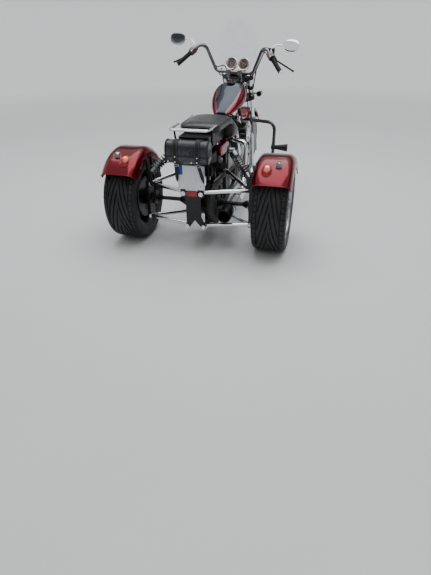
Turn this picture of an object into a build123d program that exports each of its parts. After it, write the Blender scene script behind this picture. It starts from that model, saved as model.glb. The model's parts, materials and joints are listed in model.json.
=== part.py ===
"""Three-wheeled cruiser: a V-twin motorcycle with a two-wheel independent rear end.

Millimetres. X points right, Y forward, Z up. The floor is Z = 0 and the origin is the
middle of the floor area. Every piece is built with Y measured from a datum line just
behind the rear axle and is moved by MIDDLE_Y when it is written.
"""
import os
from math import atan2, cos, degrees, pi, radians, sin, sqrt

from build123d import *

# Wheels and stance
REAR_AXLE_Y = 40.0
WHEELBASE = 1460.0
FRONT_AXLE_Y = REAR_AXLE_Y + WHEELBASE
HALF_TRACK = 494.0
REAR_TYRE_R = 288.0
REAR_TYRE_W = 218.0
REAR_SHOULDER_R = 26.0
REAR_RIM_R = 198.0
REAR_RIM_W = 198.0
FRONT_TYRE_R = 330.0
FRONT_TYRE_W = 100.0
FRONT_CROWN_R = 48.0
FRONT_RIM_R = 246.0
FRONT_RIM_W = 66.0
REAR_SPOKES = 10
FRONT_SPOKES = 36

# Steering head: rake from the vertical, trail on the floor, angle at rest to the right
RAKE = 29.5
TRAIL = 115.0
STEER_REST = 5.65
STEER_LOCK = 34.0
FORK_HALF = 102.0
FORK_TUBE_R = 19.5
SLIDER_R = 25.0
SLIDER_TOP = 350.0
TOP_YOKE_UP = 730.0
LOWER_YOKE_UP = 545.0
YOKE_T = 26.0
STEM_R = 14.0
AXLE_R = 9.0
DISC_R = 146.0
FORK_OFFSET = FRONT_TYRE_R * sin(radians(RAKE)) - TRAIL * cos(radians(RAKE))
HEAD_Y = FRONT_AXLE_Y - TOP_YOKE_UP * sin(radians(RAKE)) - FORK_OFFSET * cos(radians(RAKE))
HEAD_Z = FRONT_TYRE_R + TOP_YOKE_UP * cos(radians(RAKE)) - FORK_OFFSET * sin(radians(RAKE))

# Clearances: sliding fits inside one body, turning fits, and free air round moving pieces
SEAT_GAP = 0.1
RUN_GAP = 0.05
AIR = 6.0

# Engine: crankshaft centre, and distances out along each cylinder
CRANK_Y = FRONT_AXLE_Y - 630
CRANK_Z = 330.0
BANK = 22.5
CASE_HALF = 76.0
CHAIN_CASE_X = 148.0
GEAR_CASE_X = 126.0
FIN_R = 74.0
FIN_T = 3.0
FIN_PITCH = 10.0
BARREL_R = 50.0
BARREL_FROM = 110.0
HEAD_FROM = 250.0
HEAD_TOP = 325.0
ROCKER_TOP = 368.0

# Donor frame tubes
FRAME_TUBE = 30.0
BACKBONE_TUBE = 44.0
CRADLE_X = 65.0
CRADLE_Z = 165.0
CRADLE_FRONT_Y = CRANK_Y + 215
CRADLE_REAR_Y = CRANK_Y - 440
SEAT_RAIL_Z = REAR_TYRE_R + 367
SEAT_RAIL_REAR_Y = -60.0
SEAT_RAIL_TUBE = 26.0

# Rear subframe, wishbones and hubs
RAIL = 30.0
CROSS_HALF = 120.0
LOWER_RAIL_Z = REAR_TYRE_R - 118
UPPER_RAIL_Z = REAR_TYRE_R + 124
LOWER_RAIL_REAR_Y = -70.0
UPPER_RAIL_REAR_Y = -118.0
PIVOT_BOLT_R = 6.0
PLATE_TOP_Y = -172.0
PLATE_FOOT_Y = -122.0
PLATE_T = 8.0
BOLT_X = 57.0
ARM_TUBE = 26.0
ARM_FRONT_X = 128.0
ARM_FRONT_Y = 200.0
ARM_FRONT_UPPER_Z = REAR_TYRE_R + 174
ARM_FRONT_LOWER_Z = REAR_TYRE_R - 138
CARRIER_X = HALF_TRACK - 142
UPPER_APEX = (CARRIER_X - 2, -28.0, REAR_TYRE_R + 120)
LOWER_APEX = (CARRIER_X + 2, -48.0, REAR_TYRE_R - 105)
CARRIER_T = 20.0
CARRIER_BOSS_R = 48.0
SHAFT_R = 14.0
DIFF_R = 82.0
DIFF_HALF = 80.0
DIFF_NECK_R = 36.0
SHOCK_TOP = (192.0, 100.0, REAR_TYRE_R + 334)
SHOCK_FOOT = (CARRIER_X - 14, -20.0, REAR_TYRE_R + 190)
SHOCK_SPRING_R = 31.0
SHOCK_BODY_R = 20.0

# Final drive on the right
BELT_X = 102.0
BELT_W = 28.0
BELT_T = 6.0
REAR_PULLEY_R = 136.0
FRONT_PULLEY_R = 52.0
FRONT_PULLEY_Y = CRANK_Y - 270
FRONT_PULLEY_Z = CRANK_Z - 5

# Exhaust
MUFFLER_X = 190.0
MUFFLER_Z = REAR_TYRE_R - 58
MUFFLER_R = 38.0
MUFFLER_TIP_R = 44.0
MUFFLER_TIP_Z = MUFFLER_Z + 18
MUFFLER_TIP_Y = -110.0
MUFFLER_TIP_LENGTH = 120.0
MUFFLER_FRONT_Y = CRANK_Y - 430
PIPE_D = 40.0

# Engine guard
GUARD_X = 351.0
GUARD_Y = CRADLE_FRONT_Y - 85
GUARD_Z = 640.0
GUARD_TUBE = 27.0

# Bodywork
TANK_HALF = 140.0
TANK_REAR = 494.0
SEAT_Z = SEAT_RAIL_Z + 148
SEAT_BASE_Z = SEAT_Z - 58
SEAT_REAR_Y = -20.0
SEAT_FRONT_Y = HEAD_Y - TANK_REAR - 8
SEAT_STEP_Y = SEAT_FRONT_Y - 288
BODY_HALF = 96.0
BODY_REAR_Y = -136.0
BAG_DEPTH = 114.0
FENDER_R = REAR_TYRE_R + 52
FENDER_HALF = 123.0
FENDER_T = 5.0
FENDER_SKIRT = 78.0
FENDER_SHOULDER = 58.0
FENDER_REAR_DEG = 40.5
FENDER_FRONT_DEG = 35.0
FRONT_FENDER_R = FRONT_TYRE_R + 19
FRONT_FENDER_HALF = 66.0
FRONT_FENDER_SKIRT = 34.0
FRONT_FENDER_T = 4.0
NUMBER_PLATE_W = 172.0
NUMBER_PLATE_H = 152.0
NUMBER_PLATE_Z = REAR_TYRE_R + 154
PLATE_HOLE_X = 60.0
PLATE_HOLE_R = 3.5

# Distance that brings the middle of the floor area to Y = 0
MIDDLE_Y = -(FRONT_AXLE_Y + FRONT_TYRE_R + BODY_REAR_Y - BAG_DEPTH) / 2

# Rider's controls as (out, forward, up) from the middle of the top yoke, bars straight ahead
BAR_D = 25.0
BAR_CENTRE = (150.0, -46.0, 65.0)
BAR_RISE = (238.0, -113.0, 272.0)
GRIP_END = (409.0, -237.0, 106.0)
GRIP_LENGTH = 130.0
GRIP_R = 17.0
GAUGE = (51.0, 24.0, 121.0)
GAUGE_R = 48.0
GAUGE_TILT = 25.0
MIRROR = (445.0, -132.0, 273.0)
LEVER_KNEE = (333.0, -124.0, 180.0)
LEVER_TIP = (480.0, -131.0, 113.0)
HOSE_END = (300.0, -124.0, 213.0)
SHIELD_TOP = (0.0, 6.0, 427.0)
SHIELD_FOOT = (0.0, 130.0, 50.0)
SHIELD_HALF = 152.0
SHIELD_BEND_R = 300.0
SHIELD_T = 4.0
LAMP_R = 76.0
LAMP = (0.0, 229.0, -42.0)
LAMP_LENGTH = 78.0

# Planes, axes and sides
STEER_AXIS = Axis(
    (0, FRONT_AXLE_Y + TRAIL, 0), (0, -sin(radians(RAKE)), cos(radians(RAKE)))
)
FORK = Plane(
    origin=(0, FRONT_AXLE_Y, FRONT_TYRE_R),
    x_dir=(1, 0, 0),
    z_dir=(0, -sin(radians(RAKE)), cos(radians(RAKE))),
)
LEFT, RIGHT = -1, 1
SIDES = (LEFT, RIGHT)


def steered(shape):
    """Turn a piece of the front end from straight ahead to its rest angle."""
    return shape.rotate(STEER_AXIS, -STEER_REST)


def from_head(point, side=RIGHT):
    """Place of an (out, forward, up) point of the rider's controls."""
    return Vector(side * point[0], HEAD_Y + point[1], HEAD_Z + point[2])


def rod(start, end, diameter):
    """Straight round bar between two points."""
    start, end = Vector(*start), Vector(*end)
    run = end - start
    return extrude(Plane(origin=start, z_dir=run) * Circle(diameter / 2), run.length)


def tube(points, diameter, radii):
    """Round bar along straight runs joined by tangent arcs."""
    path = FilletPolyline(*points, radius=radii)
    section = Plane(origin=path @ 0, z_dir=path % 0) * Circle(diameter / 2)
    return sweep(section, path=path)


def block(x, y, z):
    """Box from three (low, high) pairs."""
    size = [pair[1] - pair[0] for pair in (x, y, z)]
    middle = [(pair[0] + pair[1]) / 2 for pair in (x, y, z)]
    return Pos(*middle) * Box(*size)


def barrel_x(x_from, x_to, radius, y, z):
    """Cylinder along X between two X values."""
    length = abs(x_to - x_from)
    return Pos((x_from + x_to) / 2, y, z) * Rot(0, 90, 0) * Cylinder(radius, length)


def barrel_y(y_from, y_to, radius, x, z):
    """Cylinder along Y between two Y values."""
    length = abs(y_to - y_from)
    return Pos(x, (y_from + y_to) / 2, z) * Rot(90, 0, 0) * Cylinder(radius, length)


def mirrored(shape):
    """The piece and its reflection in the middle plane, as one node."""
    return shape + mirror(shape, about=Plane.YZ)


def tyre(radius, width, bead_radius, shoulder):
    """Solid tyre with rounded shoulders, its axle along X through the origin."""
    height = radius - bead_radius
    section = Pos(0, bead_radius + height / 2) * Rectangle(width, height)
    section = fillet(section.vertices().group_by(Axis.Y)[-1], shoulder)
    section = fillet(section.vertices().group_by(Axis.Y)[0], 14)
    return revolve(section, axis=Axis.X)


def arch(radius, half, thickness, skirt, shoulder, rear_deg, front_deg):
    """Mudguard: a channel section swept round an axle along X through the origin."""
    outer = Pos(0, radius - skirt / 2) * Rectangle(2 * half, skirt)
    outer = fillet(outer.vertices().group_by(Axis.Y)[-1], shoulder)
    inner = Pos(0, radius - thickness - skirt / 2) * Rectangle(
        2 * (half - thickness), skirt
    )
    inner = fillet(inner.vertices().group_by(Axis.Y)[-1], shoulder - thickness)
    sweep_deg = 180 - rear_deg - front_deg
    ring = revolve(outer - inner, axis=Axis.X, revolution_arc=sweep_deg)
    return ring.rotate(Axis.X, front_deg)


# Front wheel and rear wheels


def front_tyre():
    ring = tyre(FRONT_TYRE_R, FRONT_TYRE_W, FRONT_RIM_R + SEAT_GAP, FRONT_CROWN_R)
    return steered(Pos(0, FRONT_AXLE_Y, FRONT_TYRE_R) * ring)


def front_rim():
    hub_half, flange_r, hub_r = 66.0, 34.0, 24.0
    rim_t, disc_t, disc_x = 14.0, 5.0, 58.0
    centre = Pos(0, FRONT_AXLE_Y, FRONT_TYRE_R)
    hoop = Rot(0, 90, 0) * (
        Cylinder(FRONT_RIM_R, FRONT_RIM_W) - Cylinder(FRONT_RIM_R - rim_t, FRONT_RIM_W)
    )
    hub = Rot(0, 90, 0) * Cylinder(hub_r, 2 * hub_half)
    for x in (-38.0, 38.0):
        hub += Pos(x, 0, 0) * Rot(0, 90, 0) * Cylinder(flange_r, 6)
    wheel = hoop + hub
    for i in range(FRONT_SPOKES):
        angle = 2 * pi * i / FRONT_SPOKES
        lean = 0.28 if i % 4 < 2 else -0.28
        foot_x = 38.0 if i % 2 else -38.0
        foot = (foot_x, (flange_r - 4) * cos(angle), (flange_r - 4) * sin(angle))
        reach = FRONT_RIM_R - rim_t / 2
        head = (0, reach * cos(angle + lean), reach * sin(angle + lean))
        wheel += rod(foot, head, 4)
    rotor = Pos(disc_x, 0, 0) * Rot(0, 90, 0) * Cylinder(DISC_R, disc_t)
    rotor -= Pos(disc_x, 0, 0) * Rot(0, 90, 0) * Cylinder(DISC_R - 42, disc_t)
    wheel += rotor
    for i in range(5):
        angle = 2 * pi * i / 5
        tip = (DISC_R - 38) * Vector(0, cos(angle), sin(angle)) + Vector(disc_x, 0, 0)
        wheel += rod((disc_x, 0, 0), tip, disc_t)
    wheel -= Rot(0, 90, 0) * Cylinder(AXLE_R + RUN_GAP, 3 * hub_half)
    return steered(centre * wheel)


def rear_tyre(side):
    ring = tyre(REAR_TYRE_R, REAR_TYRE_W, REAR_RIM_R + SEAT_GAP, REAR_SHOULDER_R)
    return Pos(side * HALF_TRACK, REAR_AXLE_Y, REAR_TYRE_R) * ring


def rear_rim(side):
    rim_t, hub_r, spoke_w, spoke_t = 14.0, 52.0, 26.0, 34.0
    face_x = 52.0
    barrel = Cylinder(REAR_RIM_R, REAR_RIM_W) - Cylinder(REAR_RIM_R - rim_t, REAR_RIM_W)
    wheel = Rot(0, 90, 0) * barrel
    wheel += barrel_x(-38.0, face_x + spoke_t / 2, hub_r, 0, 0)
    for i in range(REAR_SPOKES):
        spoke = Pos(face_x, 0, REAR_RIM_R / 2) * Box(spoke_t, spoke_w, REAR_RIM_R - rim_t)
        wheel += spoke.rotate(Axis.X, 360 * i / REAR_SPOKES)
    if side == LEFT:
        wheel = mirror(wheel, about=Plane.YZ)
    return Pos(side * HALF_TRACK, REAR_AXLE_Y, REAR_TYRE_R) * wheel


def half_shaft(side):
    inner, outer = 104.0, HALF_TRACK - 38.0
    boot_r, boot_l = 28.0, 30.0
    shaft = barrel_x(side * inner, side * outer, SHAFT_R, REAR_AXLE_Y, REAR_TYRE_R)
    for x in (DIFF_HALF + 46.0, CARRIER_X - 66.0):
        shaft += barrel_x(side * x, side * (x + boot_l), boot_r, REAR_AXLE_Y, REAR_TYRE_R)
    return shaft


# Steering


def yokes():
    boss_r = FORK_TUBE_R + 11
    body = Pos(0, -FORK_OFFSET, (TOP_YOKE_UP + LOWER_YOKE_UP) / 2) * Cylinder(
        STEM_R, TOP_YOKE_UP - LOWER_YOKE_UP + YOKE_T
    )
    bosses = (Pos(0, -FORK_OFFSET) * Circle(boss_r)).edges()
    for x in (-FORK_HALF, FORK_HALF):
        bosses += (Pos(x, 0) * Circle(boss_r)).edges()
    plan = make_hull(bosses)
    for up in (TOP_YOKE_UP, LOWER_YOKE_UP):
        body += extrude(Pos(0, 0, up - YOKE_T / 2) * plan, YOKE_T)
    for x in (-FORK_HALF, FORK_HALF):
        body -= Pos(x, 0, TOP_YOKE_UP - 90) * Cylinder(FORK_TUBE_R + SEAT_GAP, 300)
    return FORK * body


def fork_tubes():
    foot, top = 130.0, TOP_YOKE_UP + YOKE_T / 2 + 8
    leg = Pos(FORK_HALF, 0, (foot + top) / 2) * Cylinder(FORK_TUBE_R, top - foot)
    return FORK * mirrored(leg)


def fork_sliders():
    low, bore_from = -26.0, 128.0
    leg = Pos(FORK_HALF, 0, (low + SLIDER_TOP) / 2) * Cylinder(SLIDER_R, SLIDER_TOP - low)
    leg -= Pos(FORK_HALF, 0, (bore_from + SLIDER_TOP) / 2) * Cylinder(
        FORK_TUBE_R + SEAT_GAP, SLIDER_TOP - bore_from
    )
    legs = mirrored(leg)
    legs += Rot(0, 90, 0) * Cylinder(AXLE_R, 2 * FORK_HALF)
    caliper = block((44, FORK_HALF - 18), (-150, -78), (40, 112))
    caliper += block((FORK_HALF - 24, FORK_HALF - 8), (-92, -10), (44, 100))
    caliper -= Pos(58, 0, 0) * Rot(0, 90, 0) * Cylinder(DISC_R + AIR, 5 + 2 * AIR)
    return FORK * (legs + caliper)


def front_fender(sliders):
    hood = arch(
        FRONT_FENDER_R, FRONT_FENDER_HALF, FRONT_FENDER_T, FRONT_FENDER_SKIRT, 30, 52, 40
    )
    hood = Pos(0, FRONT_AXLE_Y, FRONT_TYRE_R) * hood
    tab = block((FRONT_FENDER_HALF - 4, FORK_HALF - FORK_TUBE_R - 2), (-18, 18), (313, 327))
    return hood + (FORK * mirrored(tab) - sliders)


def headlamp(top_yoke):
    nose = 16.0
    back = from_head(LAMP)
    front_y = back.Y + LAMP_LENGTH
    shell = barrel_y(back.Y, front_y, LAMP_R, 0, back.Z) + Pos(back) * Sphere(LAMP_R)
    shell += barrel_y(front_y, front_y + nose, LAMP_R - 8, 0, back.Z)
    neck = block((-22, 22), (HEAD_Y + 64, back.Y + 10), (back.Z + 56, back.Z + 82))
    return shell + (neck - top_yoke)


def gauges(top_yoke):
    depth, bezel, stand_w = 40.0, 8.0, 28.0
    face = from_head(GAUGE)
    dial = Plane(
        origin=face,
        x_dir=(1, 0, 0),
        z_dir=(0, -cos(radians(GAUGE_TILT)), sin(radians(GAUGE_TILT))),
    )
    cup = dial * (Pos(0, 0, -depth / 2) * Cylinder(GAUGE_R - 4, depth))
    cup += dial * (Pos(0, 0, -bezel / 2) * Cylinder(GAUGE_R, bezel))
    low = HEAD_Z + 33
    stand_x = (face.X - stand_w / 2, face.X + stand_w / 2)
    stand = block(stand_x, (face.Y - 4, face.Y + 34), (low, face.Z - 16))
    pair = mirrored(cup + stand)
    pair += block((-face.X, face.X), (face.Y + 6, face.Y + 30), (low, low + 24))
    return pair - top_yoke


def bar_points():
    """Handlebar corners from the left grip's end to the right one's."""
    corners = (BAR_CENTRE, BAR_RISE, GRIP_END)
    left = [from_head(corner, LEFT) for corner in reversed(corners)]
    return left + [from_head(corner) for corner in corners]


def handlebar(top_yoke):
    riser_x, riser_d, clamp_half = 46.0, 30.0, 18.0
    bar = tube(bar_points(), BAR_D, [55, 40, 40, 55])
    middle = from_head(BAR_CENTRE)
    for side in SIDES:
        top = Vector(side * riser_x, middle.Y, middle.Z)
        post = rod(top + Vector(0, 44, -60), top, riser_d) - top_yoke
        clamp = block(
            (top.X - clamp_half, top.X + clamp_half),
            (top.Y - clamp_half, top.Y + clamp_half),
            (top.Z - clamp_half, top.Z + clamp_half),
        )
        bar += post + clamp
    return bar


def grip_line(side, distance):
    """Point on a grip's centre line, a distance inboard of its end."""
    end = from_head(GRIP_END, side)
    inward = (from_head(BAR_RISE, side) - end).normalized()
    return end + inward * distance


def grips():
    both = []
    for side in SIDES:
        sleeve = rod(grip_line(side, -4), grip_line(side, GRIP_LENGTH), 2 * GRIP_R)
        hole = rod(grip_line(side, 0), grip_line(side, 2 * GRIP_LENGTH), BAR_D + 2 * SEAT_GAP)
        both.append(sleeve - hole)
    return both[0] + both[1]


def switchgear(bar):
    """Housings beside the grips with the lever's cylinder, its pot and the lever."""
    housing_l, housing_r, cylinder_d, pot_r = 46.0, 25.0, 30.0, 24.0
    both = []
    for side in SIDES:
        start = grip_line(side, GRIP_LENGTH + 2)
        end = grip_line(side, GRIP_LENGTH + 2 + housing_l)
        pod = rod(start, end, 2 * housing_r)
        knee, tip = from_head(LEVER_KNEE, side), from_head(LEVER_TIP, side)
        root = from_head(HOSE_END, side)
        pod += rod(root + (root - knee).normalized() * 12, knee, cylinder_d)
        pod += rod(grip_line(side, GRIP_LENGTH + 25), root, 24)
        pod += rod(knee, tip, 12) + Pos(knee) * Sphere(15) + Pos(tip) * Sphere(8)
        if side == RIGHT:
            pot = root + Vector(2, -2, 0)
            pod += rod(pot, pot + Vector(0, 0, 40), 2 * pot_r)
        pod -= rod(grip_line(side, -60), grip_line(side, GRIP_LENGTH + 60), BAR_D + 2 * SEAT_GAP)
        both.append(pod - bar)
    return both[0] + both[1]


def brake_hose(pods, sliders):
    """Hose from the lever's cylinder down behind the right fork leg to the caliper."""
    upper = [HOSE_END, (250, -78, 262), (168, -8, 90)]
    lower = [(88, -62, 700), (88, -58, 520), (80, -45, 340), (78, -62, 230), (72, -110, 100)]
    route = [from_head(corner) for corner in upper]
    route += [FORK.from_local_coords(Vector(*corner)) for corner in lower]
    return tube(route, 8, [24, 60, 60, 120, 120, 60]) - pods - sliders


def control_cables(pods, lamp, bar):
    """Wiring from the left housing to the headlamp and from the right one along the bar."""
    left = [(300, -124, 213), (250, -78, 262), (168, -8, 90), (120, 58, 102), (84, 98, 36), (40, 185, -5)]
    wiring = tube([from_head(corner, LEFT) for corner in left], 8, [24, 30, 24, 30])
    right = [
        (303, -160, 196), (228, -140, 240), (146, -80, 52), (60, -72, 28), (-60, -72, 28),
        (-120, -60, 45), (-130, -46, 62),
    ]
    throttle = tube([from_head(corner) for corner in right], 8, [24, 40, 30, 30, 10])
    return wiring + throttle - pods - lamp - bar


def mirrors(pods):
    wide, tall, thick = 124.0, 94.0, 22.0
    both = []
    for side in SIDES:
        glass = from_head(MIRROR, side)
        head = Pos(glass) * Rot(90, 0, 0) * extrude(
            Ellipse(wide / 2, tall / 2), thick / 2, both=True
        )
        root = grip_line(side, GRIP_LENGTH + 40) + Vector(0, 8, 36)
        knee = root + Vector(side * 30, 14, 30)
        foot = grip_line(side, GRIP_LENGTH + 25) + Vector(0, 0, 24.8)
        stem = tube([foot, root, knee, glass], 10, [8, 12])
        both.append(head + stem)
    return both[0] + both[1] - pods


def windshield():
    rise = from_head(SHIELD_TOP) - from_head(SHIELD_FOOT)
    pane = Plane(origin=from_head(SHIELD_FOOT), x_dir=(1, 0, 0), z_dir=rise)
    bow = Pos(0, -SHIELD_BEND_R, 0) * (
        Cylinder(SHIELD_BEND_R, rise.length) - Cylinder(SHIELD_BEND_R - SHIELD_T, rise.length)
    )
    bow = Pos(0, 0, rise.length / 2) * bow
    dome_z = rise.length - SHIELD_HALF
    outline = Pos(0, dome_z) * Circle(SHIELD_HALF) + Pos(0, dome_z / 2) * Rectangle(
        2 * SHIELD_HALF, dome_z
    )
    keep = Plane.XZ * outline
    window = extrude(keep, 2 * SHIELD_BEND_R / 3)
    return pane * (bow & window)


def shield_mounts(pane):
    """Clamps on the fork tubes with stays up to the back of the windshield."""
    up, reach = 640.0, 12.0
    both = []
    for side in SIDES:
        knee = from_head((SHIELD_HALF - 6, 66, 71), side)
        ring = Pos(side * FORK_HALF, 0, up) * (
            Cylinder(FORK_TUBE_R + 8, 22) - Cylinder(FORK_TUBE_R + SEAT_GAP, 22)
        )
        foot = FORK.from_local_coords(Vector(side * (FORK_HALF + 25), 0, up))
        stay = rod(foot, knee, 9) + Pos(knee) * Sphere(6)
        stay += barrel_y(knee.Y, knee.Y + reach, 4, knee.X, knee.Z) - pane
        both.append(FORK * ring + stay)
    return both[0] + both[1]


def front_indicators():
    up, lamp_r, lamp_l = 585.0, 21.0, 52.0
    both = []
    for side in SIDES:
        ring = Pos(side * FORK_HALF, 0, up) * (
            Cylinder(FORK_TUBE_R + 7, 20) - Cylinder(FORK_TUBE_R + SEAT_GAP, 20)
        )
        lamp = FORK * ring
        hub = FORK.from_local_coords(Vector(side * (FORK_HALF + FORK_TUBE_R + 4), 0, up))
        bulb = Vector(side * 178, hub.Y, hub.Z)
        lamp += rod(hub, bulb, 12)
        lamp += barrel_y(hub.Y - lamp_l / 2, hub.Y + lamp_l / 2, lamp_r, bulb.X, hub.Z)
        both.append(lamp)
    return both[0] + both[1]


# Chassis


def backbone(diameter):
    """Straight top tube from the steering head down to the cross tube under the seat."""
    head_top = FORK.from_local_coords(Vector(0, -FORK_OFFSET, TOP_YOKE_UP - 43))
    return rod(head_top, (0, CRADLE_REAR_Y + 40, SEAT_RAIL_Z), diameter)


def frame():
    half = (TOP_YOKE_UP - LOWER_YOKE_UP - YOKE_T) / 2 - 0.5
    middle_up = (TOP_YOKE_UP + LOWER_YOKE_UP) / 2
    head = FORK * (Pos(0, -FORK_OFFSET, middle_up) * Cylinder(27, 2 * half))
    head_low = FORK.from_local_coords(Vector(0, -FORK_OFFSET, middle_up - half + 30))
    body = head + backbone(BACKBONE_TUBE)
    body += rod(head_low, (0, head_low.Y - 70, head_low.Z - 12), BACKBONE_TUBE)
    body += barrel_x(-CRADLE_X, CRADLE_X, FRAME_TUBE / 2, CRADLE_REAR_Y + 40, SEAT_RAIL_Z)
    for side in SIDES:
        x = side * CRADLE_X
        loop = [
            (side * 10, head_low.Y - 52, head_low.Z - 6),
            (x, CRADLE_FRONT_Y + 10, HEAD_Z - 375),
            (x, CRADLE_FRONT_Y, CRADLE_Z),
            (x, CRADLE_REAR_Y, CRADLE_Z),
            (x, CRADLE_REAR_Y, SEAT_RAIL_Z),
        ]
        body += tube(loop, FRAME_TUBE, [60, 70, 70])
        front, back = (x, CRADLE_REAR_Y + 40, SEAT_RAIL_Z), (x, SEAT_RAIL_REAR_Y, SEAT_RAIL_Z)
        body += rod(front, back, SEAT_RAIL_TUBE)
    for z in (CRADLE_Z + 120, CRADLE_Z + 330):
        body += barrel_x(-CRADLE_X, CRADLE_X, 11, CRADLE_REAR_Y, z)
    body -= FORK * (Pos(0, -FORK_OFFSET, middle_up) * Cylinder(STEM_R + RUN_GAP, 3 * half))
    return body


def bank_plane(tilt):
    """Plane at the crankshaft with Z out along a cylinder; tilt is positive forward."""
    lean = radians(tilt)
    return Plane(
        origin=(0, CRANK_Y, CRANK_Z), x_dir=(1, 0, 0), z_dir=(0, sin(lean), cos(lean))
    )


def half_space(tilt):
    """The side of the middle plane between the banks that a cylinder keeps."""
    if tilt > 0:
        return block((-200, 200), (CRANK_Y + 1.5, CRANK_Y + 400), (0, 900))
    return block((-200, 200), (CRANK_Y - 400, CRANK_Y - 1.5), (0, 900))


def engine_cases():
    low = CRADLE_Z + FRAME_TUBE / 2
    case = block(
        (-CASE_HALF, CASE_HALF), (CRANK_Y - 310, CRANK_Y + 140), (low + 6, CRANK_Z + 122)
    )
    case = fillet(case.edges().filter_by(Axis.X), 46)
    for y in (CRANK_Y - 230, CRANK_Y + 70):
        foot = block((-CRADLE_X - 12, CRADLE_X + 12), (y - 25, y + 25), (CRADLE_Z, low + 60))
        case += foot
    chain_case = block(
        (-CHAIN_CASE_X, -CASE_HALF),
        (CRANK_Y - 260, CRANK_Y + 130),
        (CRANK_Z - 102, CRANK_Z + 70),
    )
    chain_case = fillet(chain_case.edges().filter_by(Axis.X), 84)
    chain_case = fillet(chain_case.faces().sort_by(Axis.X)[0].edges(), 14)
    gear_case = block(
        (CASE_HALF, GEAR_CASE_X), (CRANK_Y - 155, CRANK_Y + 115), (CRANK_Z - 98, CRANK_Z + 78)
    )
    gear_case = fillet(gear_case.edges().filter_by(Axis.X), 70)
    gear_case = fillet(gear_case.faces().sort_by(Axis.X)[-1].edges(), 12)
    return case + chain_case + gear_case


def cylinders(cases):
    both = []
    for tilt in (-BANK, BANK):
        place = bank_plane(tilt)
        barrel = Pos(0, 0, (BARREL_FROM + HEAD_TOP) / 2) * Cylinder(
            BARREL_R, HEAD_TOP - BARREL_FROM
        )
        fins = int((HEAD_TOP - BARREL_FROM - FIN_T) / FIN_PITCH)
        for i in range(fins + 1):
            up = BARREL_FROM + 14 + i * FIN_PITCH
            if up > HEAD_TOP - FIN_T:
                break
            barrel += Pos(0, 0, up) * Cylinder(FIN_R, FIN_T)
        both.append((place * barrel) & half_space(tilt))
    return both[0] + both[1] - cases


def rocker_covers():
    both = []
    for tilt in (-BANK, BANK):
        cover = Box(132, 104, ROCKER_TOP - HEAD_TOP)
        cover = fillet(cover.edges().filter_by(Axis.Z), 26)
        cover = Pos(0, 0, (HEAD_TOP + ROCKER_TOP) / 2) * cover
        both.append((bank_plane(tilt) * cover) & half_space(tilt))
    return both[0] + both[1]


def pushrod_tubes(cases, barrels, covers):
    body = None
    for tilt in (-BANK, BANK):
        for spread in (-16, 16):
            start = Vector(100, CRANK_Y + 40 * tilt / BANK + spread, CRANK_Z + 70)
            end = bank_plane(tilt).from_local_coords(Vector(86, spread, HEAD_TOP - 8))
            pipe = rod(start, end, 17)
            body = pipe if body is None else body + pipe
    return body - cases - barrels - covers


def air_cleaner(barrels):
    y, z = CRANK_Y, CRANK_Z + 260
    body = barrel_x(108, 158, 78, y, z)
    body = fillet(body.faces().sort_by(Axis.X)[-1].edges(), 12)
    neck = barrel_x(20, 108, 22, y, z) + barrel_y(y - 48, y + 48, 17, 30, z)
    return body + (neck - barrels)


def exhaust(barrels, rails):
    x, z, tip_y = MUFFLER_X, MUFFLER_Z, MUFFLER_TIP_Y
    muffler = barrel_y(tip_y + MUFFLER_TIP_LENGTH / 2, MUFFLER_FRONT_Y, MUFFLER_R, x, z)
    muffler += barrel_y(tip_y, tip_y + MUFFLER_TIP_LENGTH, MUFFLER_TIP_R, x, MUFFLER_TIP_Z)
    muffler -= barrel_y(tip_y, tip_y + 90, MUFFLER_TIP_R - 6, x, MUFFLER_TIP_Z)
    front_port = bank_plane(BANK).from_local_coords(Vector(66, 40, HEAD_FROM + 20))
    rear_port = bank_plane(-BANK).from_local_coords(Vector(66, -54, HEAD_FROM + 20))
    front = tube(
        [
            front_port,
            (150, front_port.Y + 40, front_port.Z - 20),
            (172, CRANK_Y + 160, 215),
            (172, CRANK_Y - 230, 205),
            (MUFFLER_X, MUFFLER_FRONT_Y - 4, MUFFLER_Z),
        ],
        PIPE_D,
        [40, 80, 70],
    )
    rear = tube(
        [
            rear_port,
            (168, rear_port.Y - 20, rear_port.Z - 20),
            (172, CRANK_Y - 230, 300),
            (178, CRANK_Y - 310, 222),
        ],
        PIPE_D,
        [36, 60],
    )
    foot = (CRADLE_X + RAIL / 2, 250, LOWER_RAIL_Z - 4)
    hanger = rod(foot, (MUFFLER_X - 24, 250, MUFFLER_Z - 26), 10)
    return muffler + front + rear + hanger - barrels - rails


def fuel_tank(cap):
    # Side outline as (forward, up) from the top yoke, then (forward, half width) of the plan
    side = [
        (-TANK_REAR, -193), (4 - TANK_REAR, -163), (-286, -51), (-161, 13),
        (-96, 3), (-64, -55), (-81, -123),
    ]
    plan = [(-TANK_REAR, 52), (-386, 104), (-236, TANK_HALF), (-136, 124), (-64, 86)]
    corners = [(HEAD_Y + forward, HEAD_Z + up) for forward, up in side]
    slab = extrude(Plane.YZ * make_face(Polyline(*corners, close=True)), TANK_HALF + 20, both=True)
    right = [(half, HEAD_Y + forward) for forward, half in plan]
    left = [(-half, HEAD_Y + forward) for forward, half in reversed(plan)]
    column = extrude(make_face(Polyline(*right, *left, close=True)), 2 * HEAD_Z)
    return (slab & column) - backbone(BACKBONE_TUBE + 2 * SEAT_GAP) - cap


def tank_cap():
    return Pos(0, HEAD_Y - 173, HEAD_Z + 9) * Rot(14, 0, 0) * Cylinder(34, 18)


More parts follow.
